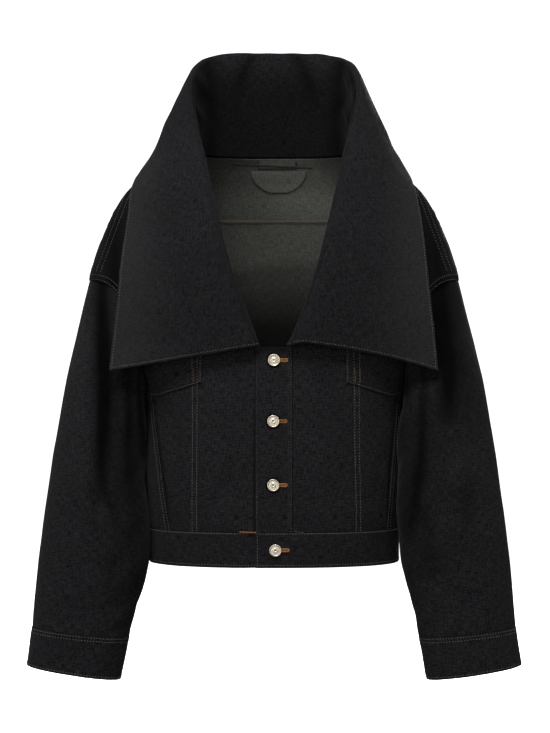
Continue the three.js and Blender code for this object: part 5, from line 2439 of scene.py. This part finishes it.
@dataclass
class Collar(SewnPart):
    """The oversized collar: a tall stand that rolls over into a wide pointed fall.

    The size is about that of the cloth, along and up, and sets how fine the grid is.
    """

    size: tuple[float, float] = (1350.0, 400.0)
    hand: Hand = Hand(1.3, 130.0, 0.45, 45.0, 101)
    wear: float = 0.55
    row_inset: float = 3.6
    roll_share: float = 0.36
    seam_lift: float = 1.1
    front_rise: float = 9.0
    stand_rounding: float = 0.5
    fall_rounding: float = 0.3
    front_crispness: float = 0.6
    tip_shift: tuple[float, float, float] = (-3.0, 0.0, -2.5)
    rows: Table = Table(
        ("seam_angle", "seam_height", "roll_x", "roll_y", "roll_z", "edge_x", "edge_y", "edge_z", "bow"),
        (
            (180, 5, 0, 96, 162, 0, 150, -88, 5),
            (153, 5, 56, 93, 161, 75, 148, -86, 5),
            (128, 5, 100, 76, 152, 140, 130, -76, 5),
            (108, 5, 116, 42, 134, 184, 82, -52, 4),
            (90, 5, 122, 8, 98, 196, 12, -29, 0),
            (90, -35, 113, -25, 40, 203, -24, -48, -3),
            (90, -80, 102, -55, -5, 210, -54, -98, -5),
            (90, -130, 89, -88, -65, 216, -73, -150, -7),
            (90, -180, 74, -113, -128, 220, -84, -202, -8),
            (90, -232, 52, -127, -210, 226, -91, -257, -9),
            (90, -279, 27, -131, -273, 231, -94, -310, -10),
        ),
    )
    shoulder_row: int = 4

    def seam(self, t: Array) -> Array:
        """The neck seam: round the top of the back, then down the front neckline.

        Args:
            t: Places along the rows.

        Returns:
            Points on the wearer's left.
        """
        angle = np.radians(self.rows.at("seam_angle", t))
        height = self.rows.at("seam_height", t)
        place = BODY_FORM.place_of(height)
        front = BODY_FORM.point(BODY_FORM.angle_at(neck_x(height), place), place)
        back = BODY_FORM.point(angle, np.full_like(place, BODY_FORM.top))
        return np.where((t <= self.shoulder_row)[..., None], back, front)

    def point(self, w: Array, v: Array) -> Array:
        """A point of the collar's hidden face.

        From the neck seam a straight run leads to the roll line, whose corner is rounded by a
        parabola, and another one to the free edge. The fall bows by an arch, four f times one
        less f, and rises at the wearer's left front.

        Args:
            w: From the wearer's right front end (-1) over the centre back to the left one (1).
            v: From the neck seam (0) to the free edge (1).

        Returns:
            Points.
        """
        w, v = np.broadcast_arrays(w, v)
        t = np.abs(w) * self.rows.last
        sign = np.where(w < 0, -1.0, 1.0)
        seam = self.seam(t)
        roll = np.stack([self.rows.at(name, t) for name in ("roll_x", "roll_y", "roll_z")], axis=-1)
        tip = smoothstep(np.abs(w), 0.987, 1.0)[..., None]
        roll = roll + tip * self.tip_shift
        edge = np.stack([self.rows.at(name, t) for name in ("edge_x", "edge_y", "edge_z")], axis=-1)
        lift = roll - seam
        seam = seam + self.seam_lift * lift / np.linalg.norm(lift, axis=-1, keepdims=True)
        crisp = (1 - self.front_crispness * smoothstep(np.abs(w), 0.3, 0.6))[..., None]
        to_stand = self.stand_rounding * crisp
        to_fall = self.fall_rounding * crisp
        crown = (roll - seam * to_stand / 4 - edge * to_fall / 4) / (1 - (to_stand + to_fall) / 4)
        round_start = lerp(crown, seam, to_stand)
        round_end = lerp(crown, edge, to_fall)
        stand_end = self.roll_share * 0.5
        fall_start = self.roll_share * 1.5
        low = v[..., None] / stand_end
        high = (v[..., None] - fall_start) / (1 - fall_start)
        f = (v[..., None] - stand_end) / (fall_start - stand_end)
        curve = round_start * (1 - f) ** 2 + crown * 2 * f * (1 - f) + round_end * f**2
        point = np.where(low < 1, lerp(seam, round_start, low), curve)
        point = np.where(high > 0, lerp(round_end, edge, high), point)
        fall = np.clip((v - self.roll_share) / (1 - self.roll_share), 0, 1)
        arch = 4 * fall * (1 - fall)
        y = point[..., 1] + self.rows.at("bow", t) * 0.8 * arch
        z = point[..., 2] + self.front_rise * arch * smoothstep(w, 0.75, 1.0)
        return np.stack((point[..., 0] * sign, y, z), axis=-1)

    def build(self) -> None:
        """Makes the collar, its soft folds and the row of stitches inside its free edges."""
        width, length = self.size
        across = graded(width, 5.0, 1.5, 12.0)
        up = graded(length, 4.5, 1.4, 12.0)
        w = (2 * across - 1)[None]
        hidden = self.point(w, up[:, None])
        points = hidden + DOUBLE_CLOTH * grid_normals(hidden, False)
        piece = CutPiece("collar", across, up, points, DOUBLE_CLOTH)
        free = smoothstep(up, 0.02, 0.12)[:, None]
        piece.push(self.hand.height(piece.along_run, piece.up_run) * free)
        piece.crease(COLLAR_CREASES)
        # Painted shade on the stand
        piece.deep = self.stand_painted_shade(np.abs(w), up[:, None])
        piece.wear = self.wear * smoothstep(up, 0.68, 1.0)[:, None] * np.ones_like(w)
        group = "sewing_collar"
        for edge, seed in ((Edge.TOP, 103), (Edge.START, 104), (Edge.END, 105)):
            piece.hemmed(edge, seed)
        self.stitch(group, piece, piece.beside(Edge.TOP, self.row_inset))
        for edge in (Edge.START, Edge.END):
            self.stitch(group, piece, piece.beside(edge, self.row_inset, 0.1, 0.99))
        made = shell(piece, self.finishes.collar, self.finishes.collar)
        declare(made, piece, (self.workroom.make(group),))

    def stand_painted_shade(self, side: Array, v: Array) -> Array:
        """The painted shade on the stand: most in its two corners, least at the roll, and along one
        slanting fold.

        Args:
            side: The place from the centre back (0) to a front end (1).
            v: The place from the neck seam to the free edge.

        Returns:
            The painted shade at each place.
        """
        corner = smoothstep(side, 0.13, 0.23) * (1 - smoothstep(side, 0.42, 0.6))
        corner = corner * (1 - smoothstep(v, 0.3, 0.36))
        stand = (1 - smoothstep(v, 0.14, 0.32)) * (1 - smoothstep(side, 0.5, 0.7))
        fold = bump(side + 0.3 * v, 0.15, 0.022) * smoothstep(v, 0.1, 0.22) * (1 - smoothstep(v, 0.3, 0.36))
        return 1 - (1 - 0.9 * corner) * (1 - 0.62 * stand) * (1 - 0.6 * fold)


@dataclass(frozen=True)
class SoftLight:
    """A square soft light: its place and the height it faces in metres, its side, its watts."""

    name: str
    place: tuple[float, float, float]
    aim_height: float
    size: float
    power: float


SOFT_LIGHTS = (
    SoftLight("top_front", (-0.35, -1.9, 2.7), -0.25, 1.5, 108.0),
    SoftLight("left_box", (-2.3, -3.2, 0.3), -0.35, 1.8, 30.0),
    SoftLight("right_box", (2.6, -3.0, 0.2), -0.35, 1.8, 18.0),
    SoftLight("low_box", (-0.2, -2.9, -0.75), -0.45, 1.4, 12.0),
    SoftLight("back_box", (0.6, 3.2, 1.3), -0.3, 1.8, 150.0),
    SoftLight("side_left", (-3.3, 0.5, 0.5), -0.35, 1.6, 22.0),
    SoftLight("side_right", (3.3, 0.5, 0.5), -0.35, 1.6, 22.0),
)


@dataclass(frozen=True)
class Studio:
    """The plain stage: a round pale cove, soft lights and the camera."""

    eye: tuple[float, float, float] = (0.00145, -3.2, -0.3038)
    lens: float = 108.4
    floor_height: float = -1.0
    cove_radius: float = 5.0
    cove_height: float = 5.0
    cove_bend: float = 1.0
    air: float = 0.05
    sides: int = 96

    def cove(self) -> None:
        """Makes the cove: a round floor whose rim curves up into a wall.

        The profile is a straight run, a quarter circle and an upright run, turned about z. The
        paper glows evenly, and only the camera sees it, so that it throws no haze on the cloth.
        """
        sides = self.sides
        turn = np.linspace(0.0, np.pi / 2, 12)
        straight = self.cove_radius - self.cove_bend
        radius = np.concatenate(([0.0002], straight + self.cove_bend * np.sin(turn), [self.cove_radius]))
        rise = np.concatenate(([0.0], self.cove_bend * (1 - np.cos(turn)), [self.cove_height]))
        angle = np.linspace(0.0, 2 * np.pi, sides, endpoint=False)
        x = radius[:, None] * np.cos(angle)
        y = radius[:, None] * np.sin(angle)
        z = np.broadcast_to((rise + self.floor_height)[:, None], x.shape)
        points = np.stack((x, y, z), axis=-1).reshape(-1, 3)
        j, i = np.meshgrid(np.arange(len(radius) - 1), np.arange(sides), indexing="ij")
        low = j.ravel() * sides
        here = i.ravel()
        ahead = (here + 1) % sides
        faces = np.stack((low + here, low + ahead, low + sides + ahead, low + sides + here), axis=1)
        mesh = bpy.data.meshes.new("studio_cove")
        mesh.from_pydata(points.tolist(), [], faces.tolist())
        mesh.polygons.foreach_set("use_smooth", np.ones(len(mesh.polygons), bool))
        nodes = Nodes("studio_paper")
        place = nodes.add("ShaderNodeTexCoord").outputs["Object"]
        tone = nodes.ramp(nodes.noise(place, 3.0, 2.0), 0.2, 0.8, (0.96, 0.96, 0.96, 1), (1, 1, 1, 1))
        nodes.link(tone, nodes.shader.inputs["Base Color"])
        nodes.link(tone, nodes.shader.inputs["Emission Color"])
        nodes.shader.inputs["Emission Strength"].default_value = 1.0
        nodes.shader.inputs["Roughness"].default_value = 0.9
        mesh.materials.append(nodes.material)
        cove = bpy.data.objects.new("studio_cove", mesh)
        for flag in ("visible_diffuse", "visible_glossy", "visible_transmission", "visible_shadow"):
            setattr(cove, flag, False)
        bpy.context.scene.collection.objects.link(cove)

    @staticmethod
    def light(light: SoftLight) -> None:
        """Adds one square soft light.

        Args:
            light: Its sizes.
        """
        data = bpy.data.lights.new(light.name, "AREA")
        data.shape = "SQUARE"
        data.size = light.size
        data.energy = light.power
        lamp = bpy.data.objects.new(light.name, data)
        lamp.location = light.place
        direction = Vector((0, 0, light.aim_height)) - Vector(light.place)
        lamp.rotation_euler = direction.to_track_quat("-Z", "Y").to_euler()
        bpy.context.scene.collection.objects.link(lamp)

    def build(self) -> None:
        """Makes the cove, the lights, the world and the camera."""
        self.cove()
        for light in SOFT_LIGHTS:
            self.light(light)
        world = bpy.data.worlds.new("studio_air")
        world.use_nodes = True
        world.node_tree.nodes["Background"].inputs["Color"].default_value = (1, 1, 1, 1)
        world.node_tree.nodes["Background"].inputs["Strength"].default_value = self.air
        bpy.context.scene.world = world
        bpy.context.scene.view_settings.view_transform = "Standard"
        data = bpy.data.cameras.new("camera")
        data.lens = self.lens
        data.sensor_width = 36.0
        camera = bpy.data.objects.new("camera", data)
        camera.location = self.eye
        camera.rotation_euler = (np.pi / 2, 0.0, 0.0)
        bpy.context.scene.collection.objects.link(camera)
        bpy.context.scene.camera = camera


def main() -> None:
    """Builds the jacket in the order in which it is sewn, then the studio."""
    logging.basicConfig(level=logging.INFO, format="%(name)s: %(message)s")
    workroom = Workroom(Finishes())
    Fronts(workroom, FrontSizes(Side.LEFT, 110, 114, 182, 160)).build()
    Fronts(workroom, FrontSizes(Side.RIGHT, 106, 107, 184, 147)).build()
    Back(workroom).build()
    Placket(workroom).build()
    Waistband(workroom).build()
    Sleeve(workroom, LEFT_SLEEVE).build()
    Sleeve(workroom, RIGHT_SLEEVE).build()
    Collar(workroom).build()
    Studio().build()


if __name__ == "__main__":
    main()
